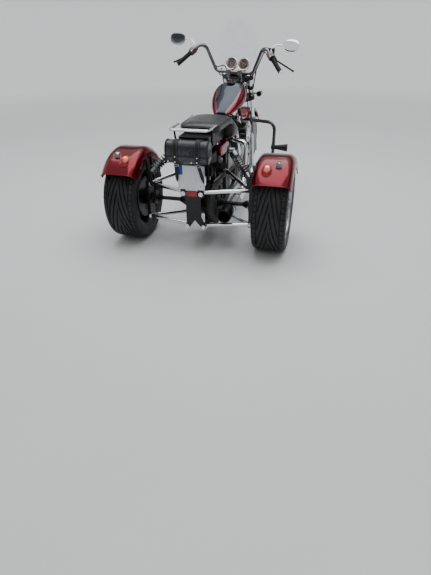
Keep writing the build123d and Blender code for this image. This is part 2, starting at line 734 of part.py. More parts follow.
def side_covers(main):
    # Outline as (forward, up) from the seat's step and the seat rail
    outline = [
        (-226, -43), (-191, -9), (-14, -9), (6, -22), (34, -40), (-6, -72), (-126, -80), (-196, -70),
    ]
    corners = [(SEAT_STEP_Y + forward, SEAT_RAIL_Z + up) for forward, up in outline]
    plan = fillet(make_face(Polyline(*corners, close=True)).vertices(), 9)
    cover = Pos(BODY_HALF, 0, 0) * extrude(Plane.YZ * plan, 28)
    cover = fillet(cover.faces().sort_by(Axis.X)[-1].edges(), 8)
    for y in (SEAT_STEP_Y - 176, SEAT_STEP_Y - 30):
        cover += barrel_x(CRADLE_X + 4, BODY_HALF + 2, 6, y, SEAT_RAIL_Z - 12)
    return mirrored(cover) - main


def rear_body():
    span = (BODY_REAR_Y, SEAT_STEP_Y - 4)
    body = block((-BODY_HALF, BODY_HALF), span, (SEAT_RAIL_Z - 34, SEAT_BASE_Z))
    body = fillet(body.edges().filter_by(Axis.Z), 24)
    rail_r = SEAT_RAIL_TUBE / 2
    room = block(
        (CRADLE_X - rail_r - 3, 2 * BODY_HALF),
        (2 * BODY_REAR_Y, SEAT_STEP_Y),
        (SEAT_RAIL_Z - 100, SEAT_RAIL_Z + rail_r),
    )
    return body - mirrored(room)


def seat():
    # Side outline (y, z), then (y, half width) of the plan
    front = SEAT_FRONT_Y
    side = [
        (SEAT_REAR_Y, SEAT_BASE_Z), (SEAT_REAR_Y, SEAT_Z - 14), (SEAT_REAR_Y + 16, SEAT_Z),
        (front - 254, SEAT_Z), (front - 212, SEAT_Z - 14), (front - 144, SEAT_Z - 61),
        (front - 64, SEAT_Z - 75), (front, SEAT_Z - 63), (front, SEAT_Z - 113),
        (front - 164, SEAT_Z - 163), (SEAT_STEP_Y, SEAT_Z - 163), (SEAT_STEP_Y, SEAT_BASE_Z),
    ]
    plan = [
        (SEAT_REAR_Y, 112), (SEAT_REAR_Y + 30, 130), (front - 334, 136), (front - 254, 160),
        (front - 204, 168), (front - 134, 160), (front - 62, 122), (front, 84),
    ]
    slab = extrude(Plane.YZ * make_face(Polyline(*side, close=True)), 200, both=True)
    right = [(half, y) for y, half in plan]
    left = [(-half, y) for y, half in reversed(plan)]
    column = extrude(make_face(Polyline(*right, *left, close=True)), 2 * SEAT_Z)
    hollow = block(
        (-BODY_HALF, BODY_HALF), (SEAT_STEP_Y - 6, front + 100), (SEAT_Z - 203, SEAT_Z - 99)
    )
    return (slab & column) - hollow - backbone(BACKBONE_TUBE + 2 * SEAT_GAP)


def luggage_rack(body):
    wide, rear_y, front_y, z, d = 118.0, -222.0, -34.0, SEAT_Z - 3, 12.0
    loop = [(-wide, front_y, z), (-wide, rear_y, z), (wide, rear_y, z), (wide, front_y, z)]
    rack = tube(loop, d, [26, 26])
    rack += barrel_x(-wide, wide, 4, -188, z)
    for side in SIDES:
        leg = [
            (side * wide, -130, z),
            (side * (wide - 4), -110, SEAT_BASE_Z - 45),
            (side * BODY_HALF, -60, SEAT_BASE_Z - 55),
        ]
        rack += rod(leg[0], leg[1], d) + rod(leg[1], leg[2], d)
        rack += Pos(*leg[1]) * Sphere(d / 2)
    return rack - body


def tool_bag():
    low, high = SEAT_RAIL_Z - 52, SEAT_BASE_Z - 1
    body = block((-146, 124), (BODY_REAR_Y - BAG_DEPTH, BODY_REAR_Y), (low, high))
    return fillet(body.edges().filter_by(Axis.X), 44)


def subframe(main):
    x_in, x_out = CRADLE_X - RAIL / 2, CRADLE_X + RAIL / 2
    tower_x, tower_t, shock_y = SHOCK_TOP[0] - 26, 10.0, SHOCK_TOP[1]
    bridge_z = SHOCK_TOP[2] - 100
    body = None
    for side in SIDES:
        span = sorted((side * x_in, side * x_out))
        for z, rear_y in (
            (LOWER_RAIL_Z, LOWER_RAIL_REAR_Y), (UPPER_RAIL_Z, UPPER_RAIL_REAR_Y),
        ):
            rail = block(span, (rear_y, CRADLE_REAR_Y), (z - RAIL / 2, z + RAIL / 2))
            body = rail if body is None else body + rail
        for y in (LOWER_RAIL_REAR_Y + 10, shock_y, ARM_FRONT_Y):
            body += block(span, (y - 14, y + 14), (LOWER_RAIL_Z, UPPER_RAIL_Z))
        body += block(span, (shock_y - 14, shock_y + 14), (UPPER_RAIL_Z, bridge_z + 14))
        plate = sorted((side * tower_x, side * (tower_x + tower_t)))
        body += block(plate, (shock_y - 30, shock_y + 30), (bridge_z - 14, SHOCK_TOP[2] + 28))
    body += block((-tower_x, tower_x), (shock_y - 16, shock_y + 16), (bridge_z - 14, bridge_z + 14))
    for z in (ARM_FRONT_UPPER_Z, ARM_FRONT_LOWER_Z):
        body += block(
            (-CROSS_HALF, CROSS_HALF), (ARM_FRONT_Y - 14, ARM_FRONT_Y + 14), (z - 14, z + 14)
        )
    for side in SIDES:
        span = sorted((side * x_in, side * x_out))
        riser = (UPPER_RAIL_Z, ARM_FRONT_UPPER_Z)
        body += block(span, (ARM_FRONT_Y - 14, ARM_FRONT_Y + 14), riser)
    return body - main


def differential(rails):
    y, z, neck = REAR_AXLE_Y, REAR_TYRE_R, DIFF_HALF + 42
    body = barrel_x(-DIFF_HALF, DIFF_HALF, DIFF_R, y, z)
    body = fillet(body.edges().filter_by(GeomType.CIRCLE), 14)
    body += barrel_x(-neck, neck, DIFF_NECK_R, y, z)
    body -= barrel_x(-neck, -DIFF_HALF - 20, SHAFT_R + RUN_GAP, y, z)
    body -= barrel_x(DIFF_HALF + 20, neck, SHAFT_R + RUN_GAP, y, z)
    body += block((-50, 50), (y + 20, y + 120), (z - 50, z + 50))
    return body - rails


def belt_loop(extra):
    """Outline of the belt round both pulleys, grown by a thickness."""
    rear = Pos(REAR_AXLE_Y, REAR_TYRE_R) * Circle(REAR_PULLEY_R + extra)
    front = Pos(FRONT_PULLEY_Y, FRONT_PULLEY_Z) * Circle(FRONT_PULLEY_R + extra)
    return make_hull(rear.edges() + front.edges())


def final_drive():
    band = extrude(Plane.YZ * (belt_loop(BELT_T) - belt_loop(0)), BELT_W / 2, both=True)
    rear = Pos(REAR_AXLE_Y, REAR_TYRE_R) * Circle(REAR_PULLEY_R + 1)
    for i in range(5):
        angle = 2 * pi * i / 5
        hole_y, hole_z = 86 * cos(angle), 86 * sin(angle)
        rear -= Pos(REAR_AXLE_Y + hole_y, REAR_TYRE_R + hole_z) * Circle(30)
    front = Pos(FRONT_PULLEY_Y, FRONT_PULLEY_Z) * Circle(FRONT_PULLEY_R + 1)
    wheels = extrude(Plane.YZ * (rear + front), BELT_W / 2, both=True)
    stub = barrel_x(CASE_HALF - BELT_X, 0, 16, FRONT_PULLEY_Y, FRONT_PULLEY_Z)
    bore = barrel_x(0, 2 * BELT_X, DIFF_NECK_R, REAR_AXLE_Y, REAR_TYRE_R)
    return Pos(BELT_X, 0, 0) * (band + wheels + stub) - bore


def rear_plate(rails):
    lean = degrees(atan2(PLATE_FOOT_Y - PLATE_TOP_Y, UPPER_RAIL_Z - LOWER_RAIL_Z))
    # Right-hand outline (x, height over the upper bolts), from the top down to the forked foot
    right = [(76, 30), (76, -16), (52, -34), (46, -172), (66, -236), (58, -262), (40, -254)]
    left = [(-x, up) for x, up in reversed(right)]
    outline = Plane.XZ * make_face(Polyline(*right, (0, -198), *left, close=True))
    plate = Pos(0, PLATE_TOP_Y, UPPER_RAIL_Z) * Rot(lean, 0, 0) * extrude(outline, PLATE_T)
    for x in (-BOLT_X, BOLT_X):
        for z, face_y, end_y in (
            (UPPER_RAIL_Z, PLATE_TOP_Y - PLATE_T, UPPER_RAIL_REAR_Y),
            (LOWER_RAIL_Z, PLATE_FOOT_Y - PLATE_T, LOWER_RAIL_REAR_Y),
        ):
            plate += barrel_y(face_y - 9, end_y, PIVOT_BOLT_R, x, z)
            plate += barrel_y(face_y - 9, face_y + 2, 13, x, z)
    return plate - rails


def wishbones(rails):
    bush_r, bush_l = 17.0, 36.0
    body = None
    for apex, rear_y, z, front_z in (
        (UPPER_APEX, PLATE_TOP_Y + 10, UPPER_RAIL_Z, ARM_FRONT_UPPER_Z),
        (LOWER_APEX, PLATE_FOOT_Y + 8, LOWER_RAIL_Z, ARM_FRONT_LOWER_Z),
    ):
        arm = barrel_y(rear_y, rear_y + bush_l, bush_r, BOLT_X, z)
        arm += rod((BOLT_X, rear_y + bush_l / 2, z), apex, ARM_TUBE)
        arm += barrel_y(ARM_FRONT_Y - 20, ARM_FRONT_Y + 20, 15, ARM_FRONT_X, front_z)
        arm += rod((ARM_FRONT_X, ARM_FRONT_Y, front_z), apex, ARM_TUBE)
        arm += Pos(*apex) * Sphere(20)
        arm -= barrel_y(rear_y - 1, rear_y + bush_l + 1, PIVOT_BOLT_R + SEAT_GAP, BOLT_X, z)
        body = arm if body is None else body + arm
    return mirrored(body) - rails


def hub_carriers(arms):
    x_in, x_out = CARRIER_X - CARRIER_T / 2, CARRIER_X + CARRIER_T / 2
    y, z = REAR_AXLE_Y, REAR_TYRE_R
    post = block((x_in, x_out), (-62, y - 16), (LOWER_APEX[2] - 18, UPPER_APEX[2] + 20))
    post += barrel_x(x_in - 14, HALF_TRACK - 46, CARRIER_BOSS_R, y, z)
    post -= barrel_x(x_in - 20, HALF_TRACK, SHAFT_R + RUN_GAP, y, z)
    fork_y = SHOCK_FOOT[1]
    deck = UPPER_APEX[2] - 4
    fork_z = (deck, SHOCK_FOOT[2] + 14)
    post += block((x_in - 22, x_out), (fork_y - 24, fork_y - 14), fork_z)
    post += block((x_in - 22, x_out), (fork_y + 14, fork_y + 24), fork_z)
    stay_x = (x_out - 6, HALF_TRACK - FENDER_HALF)
    stay_z = (deck, z + FENDER_R - FENDER_SHOULDER - 8)
    for stay_y in (y - 56, y + 20):
        post += block(stay_x, (stay_y, stay_y + 26), stay_z)
    post += block((x_in, x_out), (-62, y + 46), (deck, deck + 20))
    return mirrored(post) - arms


def shocks(rails, carriers):
    top, foot = Vector(*SHOCK_TOP), Vector(*SHOCK_FOOT)
    run = (foot - top).normalized()
    body = rod(top + run * 20, top + run * 52, 2 * SHOCK_SPRING_R - 4)
    body += rod(top + run * 50, foot - run * 80, 14)
    body += rod(foot - run * 100, foot - run * 10, 2 * SHOCK_BODY_R)
    body += barrel_x(top.X - 16, top.X + 16, 21, top.Y, top.Z)
    body += barrel_y(foot.Y - 14, foot.Y + 14, 17, foot.X, foot.Z)
    body += rod(top, top + run * 30, 30)
    return mirrored(body) - rails - carriers


def springs(dampers):
    top, foot = Vector(*SHOCK_TOP), Vector(*SHOCK_FOOT)
    run = (foot - top).normalized()
    place = Plane(origin=top + run * 52.2, z_dir=run)
    length = (foot - top).length - 52.2 - 34
    coils = 8
    wire = 9.0
    pitch = (length - wire) / coils
    helix = Helix(pitch, length - wire, SHOCK_SPRING_R - wire / 2)
    section = Plane(origin=helix @ 0, z_dir=helix % 0) * Circle(wire / 2)
    coil = Pos(0, 0, wire / 2) * sweep(section, path=helix, is_frenet=True)
    body = place * coil
    return mirrored(body) - dampers


def rear_fender(side):
    hood = arch(
        FENDER_R, FENDER_HALF, FENDER_T, FENDER_SKIRT, FENDER_SHOULDER,
        FENDER_REAR_DEG, FENDER_FRONT_DEG,
    )
    return Pos(side * HALF_TRACK, REAR_AXLE_Y, REAR_TYRE_R) * hood


def fender_lamps(offset_x, up, radius, depth):
    """Round lamps on the back of both fenders, off the tyre's middle and above the axle."""
    z = REAR_TYRE_R + up
    skin_y = REAR_AXLE_Y - sqrt(FENDER_R**2 - up**2)
    lamp = barrel_y(skin_y - depth, skin_y + 30, radius, HALF_TRACK + offset_x, z)
    hollow = Pos(HALF_TRACK, REAR_AXLE_Y, REAR_TYRE_R) * Rot(0, 90, 0) * Cylinder(FENDER_R, 300)
    return mirrored(lamp - hollow)


def engine_guard(main):
    loop = [
        (-CRADLE_X - 12, CRADLE_FRONT_Y + 6, CRADLE_Z + 47),
        (5 - GUARD_X, GUARD_Y + 4, CRADLE_Z + 135),
        (-GUARD_X, GUARD_Y, GUARD_Z),
        (-90, CRADLE_FRONT_Y + 55, GUARD_Z - 6),
        (90, CRADLE_FRONT_Y + 55, GUARD_Z - 6),
        (GUARD_X, GUARD_Y, GUARD_Z),
        (GUARD_X - 5, GUARD_Y + 4, CRADLE_Z + 135),
        (CRADLE_X + 12, CRADLE_FRONT_Y + 6, CRADLE_Z + 47),
    ]
    guard = tube(loop, GUARD_TUBE, [50, 62, 40, 40, 62, 50])
    for side in SIDES:
        guard += block(
            sorted((side * 50, side * 80)),
            (CRADLE_FRONT_Y - 4, CRADLE_FRONT_Y + 67),
            (GUARD_Z - 20, GUARD_Z + 8),
        )
    return guard - main


def highway_pegs(guard):
    z = GUARD_Z - 193
    clamp = barrel_x(GUARD_X - 20, GUARD_X + 26, 18, GUARD_Y, z)
    cone = Plane(origin=(GUARD_X + 26, GUARD_Y, z), z_dir=(1, 0, 0)) * Cone(
        17, 31, 88, align=(Align.CENTER, Align.CENTER, Align.MIN)
    )
    return mirrored(clamp + cone) - guard


def foot_controls():
    peg_y, peg_z, peg_l = CRANK_Y - 110, CRANK_Z - 68, 144.0
    both = []
    for root_x, pedal_z, side in ((GEAR_CASE_X, peg_z - 12, RIGHT), (CHAIN_CASE_X, peg_z + 37, LEFT)):
        body = rod((side * root_x, peg_y, peg_z), (side * (root_x + peg_l), peg_y, peg_z), 26)
        arm_x, pad_x = root_x + 22, root_x + 84
        tip = (side * arm_x, peg_y + 120, pedal_z)
        body += rod((side * arm_x, peg_y + 8, peg_z), tip, 12)
        body += rod((side * arm_x, peg_y + 116, pedal_z), (side * pad_x, peg_y + 116, pedal_z), 18)
        both.append(body)
    return both[0] + both[1]


def licence_plate(centre_plate):
    top = NUMBER_PLATE_Z + NUMBER_PLATE_H
    half = NUMBER_PLATE_W / 2
    y = PLATE_TOP_Y - PLATE_T - 8
    plate = block((-half, half), (y - 3, y), (NUMBER_PLATE_Z, top))
    plate = fillet(plate.edges().filter_by(Axis.Y), 9)
    for x in (-PLATE_HOLE_X, PLATE_HOLE_X):
        plate -= barrel_y(y - 4, y + 1, PLATE_HOLE_R, x, NUMBER_PLATE_Z + 22)
    saddle = block((-40, 40), (y, y + 24), (NUMBER_PLATE_Z - 9, NUMBER_PLATE_Z + 34))
    return plate + (saddle - centre_plate)


def rear_reflector(centre_plate):
    y, z = PLATE_TOP_Y - PLATE_T, UPPER_RAIL_Z + 2
    return block((-34, 34), (y - 12, y + 2), (z - 17, z + 17)) - centre_plate


def nodes():
    """Every piece by its node name."""
    main = frame()
    top_yoke = yokes()
    sliders = fork_sliders()
    cases = engine_cases()
    barrels = cylinders(cases)
    covers = rocker_covers()
    cap = tank_cap()
    body = rear_body()
    rails = subframe(main)
    diff = differential(rails)
    arms = wishbones(rails)
    carriers = hub_carriers(arms)
    dampers = shocks(rails, carriers)
    guard = engine_guard(main)
    centre_plate = rear_plate(rails)
    bar = handlebar(top_yoke)
    pods = switchgear(bar)
    lamp = headlamp(top_yoke)
    pane = windshield()
    pieces = {
        "frame": main,
        "engine_cases": cases - main,
        "cylinders": barrels,
        "rocker_covers": covers,
        "pushrod_tubes": pushrod_tubes(cases, barrels, covers),
        "air_cleaner": air_cleaner(barrels),
        "exhaust": exhaust(barrels, rails),
        "fuel_tank": fuel_tank(cap),
        "tank_cap": cap,
        "side_covers": side_covers(main),
        "rear_body": body,
        "seat": seat(),
        "luggage_rack": luggage_rack(body),
        "tool_bag": tool_bag(),
        "subframe": rails,
        "differential": diff,
        "final_drive": final_drive(),
        "rear_plate": centre_plate,
        "wishbones": arms,
        "hub_carriers": carriers,
        "shocks": dampers,
        "springs": springs(dampers),
        "tail_lamps": fender_lamps(-36.0, 290.0, 32.0, 26.0),
        "rear_indicators": fender_lamps(31.0, 314.0, 20.0, 34.0),
        "engine_guard": guard,
        "highway_pegs": highway_pegs(guard),
        "foot_controls": foot_controls(),
        "licence_plate": licence_plate(centre_plate),
        "rear_reflector": rear_reflector(centre_plate),
        "yokes": steered(top_yoke),
        "fork_tubes": steered(fork_tubes()),
        "fork_sliders": steered(sliders),
        "front_fender": steered(front_fender(sliders)),
        "headlamp": steered(lamp),
        "gauges": steered(gauges(top_yoke)),
        "handlebar": steered(bar),
        "grips": steered(grips()),
        "switchgear": steered(pods),
        "brake_hose": steered(brake_hose(pods, sliders)),
        "control_cables": steered(control_cables(pods, lamp, bar)),
        "mirrors": steered(mirrors(pods)),
        "windshield": steered(pane),
        "shield_mounts": steered(shield_mounts(pane)),
        "front_indicators": steered(front_indicators()),
        "front_tyre": front_tyre(),
        "front_rim": front_rim(),
    }
    for side, name in ((LEFT, "left"), (RIGHT, "right")):
        pieces[f"rear_tyre_{name}"] = rear_tyre(side)
        pieces[f"rear_rim_{name}"] = rear_rim(side)
        pieces[f"half_shaft_{name}"] = half_shaft(side)
        pieces[f"rear_fender_{name}"] = rear_fender(side)
    return pieces


if __name__ == "__main__":
    os.makedirs("parts", exist_ok=True)
    for name, piece in nodes().items():
        placed = Compound(children=list((Pos(0, MIDDLE_Y, 0) * piece).solids()))
        export_step(placed, f"parts/{name}.step")
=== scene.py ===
import json
from math import cos, pi, radians, sin, sqrt

import bpy
import numpy as np
from mathutils import Matrix, Vector


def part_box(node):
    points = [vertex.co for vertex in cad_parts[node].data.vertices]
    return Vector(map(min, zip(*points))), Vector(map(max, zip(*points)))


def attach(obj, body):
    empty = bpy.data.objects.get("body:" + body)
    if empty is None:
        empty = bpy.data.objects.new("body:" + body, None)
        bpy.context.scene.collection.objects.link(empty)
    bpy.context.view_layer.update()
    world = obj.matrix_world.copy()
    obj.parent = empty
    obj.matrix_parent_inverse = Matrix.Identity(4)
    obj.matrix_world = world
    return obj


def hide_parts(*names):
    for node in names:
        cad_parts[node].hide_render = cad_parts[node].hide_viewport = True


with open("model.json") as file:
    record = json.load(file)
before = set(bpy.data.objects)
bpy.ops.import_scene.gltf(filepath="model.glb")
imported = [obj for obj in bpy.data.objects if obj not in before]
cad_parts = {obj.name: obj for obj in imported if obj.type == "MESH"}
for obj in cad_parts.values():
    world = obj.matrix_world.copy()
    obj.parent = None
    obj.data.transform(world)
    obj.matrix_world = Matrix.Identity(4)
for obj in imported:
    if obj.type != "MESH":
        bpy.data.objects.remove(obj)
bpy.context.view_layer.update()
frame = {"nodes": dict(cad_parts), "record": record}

# Driving sizes in metres. Shapes are written from a datum on the floor, AHEAD behind the rear axle
# (x right, y forward, z up), with the bars straight ahead, and Piece.make moves them into the frame
tyre_lo, tyre_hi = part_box("rear_tyre_right")
rim_lo, rim_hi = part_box("rear_rim_right")
hood_lo, hood_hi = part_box("rear_fender_right")
AHEAD = 0.04
DATUM_Y = (tyre_lo.y + tyre_hi.y) / 2 - AHEAD
TRACK = (tyre_lo.x + tyre_hi.x) / 2
AXLE_Z = (tyre_lo.z + tyre_hi.z) / 2
TYRE_HALF = (tyre_hi.x - tyre_lo.x) / 2
RIM_HALF = (rim_hi.x - rim_lo.x) / 2
HOOD_HALF = (hood_hi.x - hood_lo.x) / 2
HOOD_R = 0.34
HEAD = Vector((0, 1.0862, 0.9347))
HUB = Vector((0, 1.5, 0.33))
RAKE = radians(29.5)
STEER_AXIS = Vector((0, -sin(RAKE), cos(RAKE)))
REST_TURN = radians(-5.65)
PIVOT = Vector((0, 1.615 + DATUM_Y, 0))
STEER = Matrix.Translation(PIVOT) @ Matrix.Rotation(REST_TURN, 4, STEER_AXIS) @ Matrix.Translation(-PIVOT)
TURNED = ("steering", "front_wheel")
SIDES = {"left": -1, "right": 1}
RIGHT = (1, 0, 0)
FORWARD = (0, 1, 0)
BACK = (0, -1, 0)


# Materials
class Nodes:
    """The node tree of a material or a world, with short ways to add and join nodes."""

    def __init__(self, name, owners=bpy.data.materials, output="OutputMaterial"):
        self.owner = owners.new(name)
        self.owner.use_nodes = True
        self.tree = self.owner.node_tree
        self.tree.nodes.clear()
        self.out = self.put(output)
        self.coords = self.put("TexCoord").outputs
        self.coord = self.coords["Object"]

    def put(self, kind, inputs=None, **settings):
        node = self.tree.nodes.new("ShaderNode" + kind)
        for key, value in settings.items():
            setattr(node, key, value)
        for key, value in (inputs or {}).items():
            self.set(node.inputs[key], value)
        return node

    def set(self, socket, value):
        if isinstance(value, bpy.types.NodeSocket):
            self.tree.links.new(value, socket)
        else:
            socket.default_value = value

    def finish(self, shader):
        self.set(self.out.inputs[0], shader.outputs[0])
        return self.owner

    def noise(self, scale, detail=3.0, rough=0.55, stretch=None):
        where = self.coord
        if stretch:
            where = self.put("Mapping", {0: where, "Scale": stretch}).outputs[0]
        inputs = {"Vector": where, "Scale": scale, "Detail": detail, "Roughness": rough}
        return self.put("TexNoise", inputs).outputs[0]

    def span(self, value, a, b, low=0.0, high=1.0):
        return self.put("MapRange", {0: value, 1: a, 2: b, 3: low, 4: high}).outputs[0]

    def math(self, op, a, b=0.0):
        return self.put("Math", {0: a, 1: b}, operation=op).outputs[0]

    def radius(self, a, b):
        squares = self.math("ADD", self.math("MULTIPLY", a, a), self.math("MULTIPLY", b, b))
        return self.math("SQRT", squares)

    def mix(self, fac, a, b):
        return self.put("Mix", {0: fac, 6: a, 7: b}, data_type="RGBA").outputs[2]

    def blend(self, fac, a, b):
        return self.put("Mix", {0: fac, 2: a, 3: b}, data_type="FLOAT").outputs[0]

    def axis(self, i):
        return self.put("SeparateXYZ", {0: self.coord}).outputs[i]

    def facing_up(self):
        return self.put("SeparateXYZ", {0: self.put("NewGeometry").outputs["Normal"]}).outputs[2]

    def bump(self, strength, distance, height, **more):
        inputs = {"Strength": strength, "Distance": distance, "Height": height}
        return self.put("Bump", inputs | more).outputs[0]


def shade(color, k=1.0):
    return tuple(min(1.0, c * k) for c in color[:3]) + (1.0,)


def rub_edges(n, soft, wear, worn, base, metal, gloss):
    """Colour, metal and gloss with the edges rubbed bare in patches."""
    hard = n.put("NewGeometry").outputs["Normal"]
    flat = n.put("VectorMath", {0: soft, 1: hard}, operation="DOT_PRODUCT").outputs["Value"]
    patches = n.span(n.noise(60.0, 4.0), 0.42, 0.6, 0.0, worn)
    rub = n.math("MULTIPLY", n.span(flat, 0.985, 0.9), patches)
    return n.mix(rub, base, shade(wear)), n.blend(rub, metal, 1.0), n.blend(rub, gloss, 0.35)


def surface(
    name, color, metal=0.0, rough=0.4, spread=0.12, tint=0.12, grain=300.0, bump=0.15, depth=0.0004,
    coat=0.0, wear=None, worn=0.5, dust=0.1, cells=False, paint=None, edge=0.0015, brushed=None, spec=0.5,
):
    """Procedural finish: uneven colour and gloss, fine grain, worn edges and a little dust."""
    n = Nodes(name)
    wide = n.noise(7.0, 4.0)
    fine = n.noise(grain, 3.0, stretch=brushed)
    base = n.mix(n.span(wide, 0.3, 0.7), shade(color, 1 - tint), shade(color, 1 + tint))
    if paint:
        base = paint(n, base)
    gloss = n.span(n.noise(23.0, 5.0), 0.3, 0.7, max(0.02, rough - spread / 2), rough + spread)
    soft = n.put("Bevel", {"Radius": edge}, samples=4).outputs[0]
    if wear:
        base, metal, gloss = rub_edges(n, soft, wear, worn, base, metal, gloss)
    if dust:
        patches = n.span(wide, 0.35, 0.75, 0.0, dust)
        film = n.math("MULTIPLY", n.span(n.facing_up(), 0.1, 1.0, 0.15, 1.0), patches)
        base = n.mix(film, base, (0.33, 0.3, 0.26, 1))
        gloss = n.blend(film, gloss, 0.85)
    if cells:
        cell = n.put("TexVoronoi", {"Vector": n.coord, "Scale": grain}, feature="DISTANCE_TO_EDGE")
        fine = n.math("ADD", n.span(cell.outputs["Distance"], 0.0, 0.25), n.math("MULTIPLY", fine, 0.4))
    return n.finish(n.put("BsdfPrincipled", {
        "Base Color": base, "Metallic": metal, "Roughness": gloss, "Coat Weight": coat,
        "Coat Roughness": 0.04, "Specular IOR Level": spec, "Normal": n.bump(bump, depth, fine, Normal=soft),
    }))


def glass(name, tint, rough=0.03, see=0.96, ior=1.45):
    """Clear sheet: mirror-like at a shallow angle, see-through face on."""
    n = Nodes(name)
    smear = n.span(n.noise(18.0, 5.0), 0.35, 0.75, rough, rough + 0.12)
    wave = n.bump(0.06, 0.001, n.noise(9.0))
    shine = n.put("BsdfGlossy", {"Color": (0.95, 0.97, 1, 1), "Roughness": smear, "Normal": wave})
    clear = n.put("BsdfTransparent", {"Color": n.mix(smear, shade(tint), shade(tint, see * 0.8))})
    inside = n.put("NewGeometry").outputs["Backfacing"]
    weight = n.put("Fresnel", {"IOR": n.blend(inside, ior, 1 / ior), "Normal": wave})
    return n.finish(n.put("MixShader", {0: weight.outputs[0], 1: clear.outputs[0], 2: shine.outputs[0]}))


def lens(name, color, glow=None, centre=(0, 0, 0), reach=0.03, strength=0.0, rib=900.0):
    """Moulded lamp lens with fine ribs, lit from a bulb at centre if glow is given."""
    n = Nodes(name)
    wave = {"Vector": n.coord, "Scale": rib, "Distortion": 0.3}
    ribs = n.put("TexWave", wave, bands_direction="X").outputs[1]
    inputs = {
        "Base Color": n.mix(n.noise(40.0), shade(color, 0.8), shade(color, 1.2)),
        "Roughness": n.span(n.noise(60.0), 0.3, 0.7, 0.08, 0.22),
        "Coat Weight": 0.35,
        "Normal": n.bump(0.12, 0.0005, ribs),
    }
    if glow:
        far = n.put("VectorMath", {0: n.coord, 1: centre}, operation="DISTANCE").outputs["Value"]
        near = n.math("POWER", n.span(far, reach, 0.0), 2.0)
        inputs["Emission Color"] = n.mix(near, shade(color), shade(glow))
        inputs["Emission Strength"] = n.span(near, 0.0, 1.0, 0.9, strength)
    return n.finish(n.put("BsdfPrincipled", inputs))


def tank_panel(n, base, color):
    """Dark panel on the tank's top, with a pale and a grey pinstripe along its edge."""
    run = n.axis(1)
    border = n.span(run, 0.6 + DATUM_Y, 0.72 + DATUM_Y, 0.04, 0.078)
    border = n.math("ADD", border, n.span(run, 0.72 + DATUM_Y, 0.84 + DATUM_Y, 0.0, 0.018))
    border = n.math("SUBTRACT", border, n.span(run, 0.92 + DATUM_Y, 1.0 + DATUM_Y, 0.0, 0.012))
    off = n.math("SUBTRACT", n.math("ABSOLUTE", n.axis(0)), border)
    dark = n.mix(n.noise(5.0), (0.008, 0.012, 0.022, 1), (0.016, 0.023, 0.04, 1))
    bands = (
        (0.0012, (0.22, 0.22, 0.24, 1)), (-0.0012, shade(color, 1.1)), (-0.0064, (0.12, 0.13, 0.16, 1)),
        (-0.0088, dark),
    )
    for start, tone in bands:
        base = n.mix(n.span(off, start, start - 0.0004), base, tone)
    return base


def candy(name, color, panel=False):
    """Metallic red with flakes under clear coat, with the dark top panel if it is the tank's."""
    n = Nodes(name)
    flake = n.put("TexVoronoi", {"Vector": n.coord, "Scale": 1400.0}).outputs["Color"]
    spark = n.put("SeparateColor", {0: flake}).outputs[0]
    base = n.mix(spark, shade(color, 0.8), shade(color, 1.2))
    if panel:
        base = tank_panel(n, base, color)
    patches = n.span(n.noise(6.0, 4.0), 0.35, 0.75, 0.0, 0.012)
    film = n.math("MULTIPLY", n.span(n.facing_up(), 0.2, 1.0), patches)
    return n.finish(n.put("BsdfPrincipled", {
        "Base Color": n.mix(film, base, (0.5, 0.42, 0.4, 1)), "Metallic": 0.75,
        "Roughness": n.span(n.noise(11.0, 4.0), 0.3, 0.7, 0.18, 0.28), "Normal": n.bump(0.06, 0.0002, spark),
        "Coat Weight": 0.4, "Coat Roughness": 0.04, "Coat Normal": n.bump(0.05, 0.0006, n.noise(160.0)),
        "Specular IOR Level": 0.3,
    }))


def rack_paint(n, base):
    """Bare chrome above a set height and black below it."""
    return n.mix(n.span(n.axis(2), 0.7915, 0.7905), base, (0.01, 0.01, 0.011, 1))


def tread_groove_shade(n, base):
    """Painted shade on the groove floors of the rear treads, told from their distance to the axle."""
    far = n.radius(n.math("SUBTRACT", n.axis(1), DATUM_Y + AHEAD), n.math("SUBTRACT", n.axis(2), AXLE_Z))
    # painted shade: near black on the groove floors, standing for the shade in the grooves
    floor = n.math("MULTIPLY", n.span(far, 0.2846, 0.2838), n.span(far, 0.276, 0.2775))
    return n.mix(floor, base, (0.0012, 0.0012, 0.0013, 1))


def plate_paint(n, base):
    """Blue strip at the plate's upper left corner and a thin dark line round its edge."""
    side = n.math("ABSOLUTE", n.axis(0))
    z = n.axis(2)
    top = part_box("licence_plate")[1].z
    strip = n.math("MULTIPLY", n.span(n.axis(0), -0.0535, -0.054), n.span(z, top - 0.062, top - 0.0615))
    out = n.math("MAXIMUM", n.span(side, 0.0805, 0.081), n.span(z, top - 0.005, top - 0.0045))
    ring = n.math("SUBTRACT", out, n.span(side, 0.0825, 0.083))
    blank = n.mix(strip, base, (0.02, 0.07, 0.4, 1))
    return n.mix(n.math("MULTIPLY", ring, 0.8), blank, (0.05, 0.05, 0.05, 1))


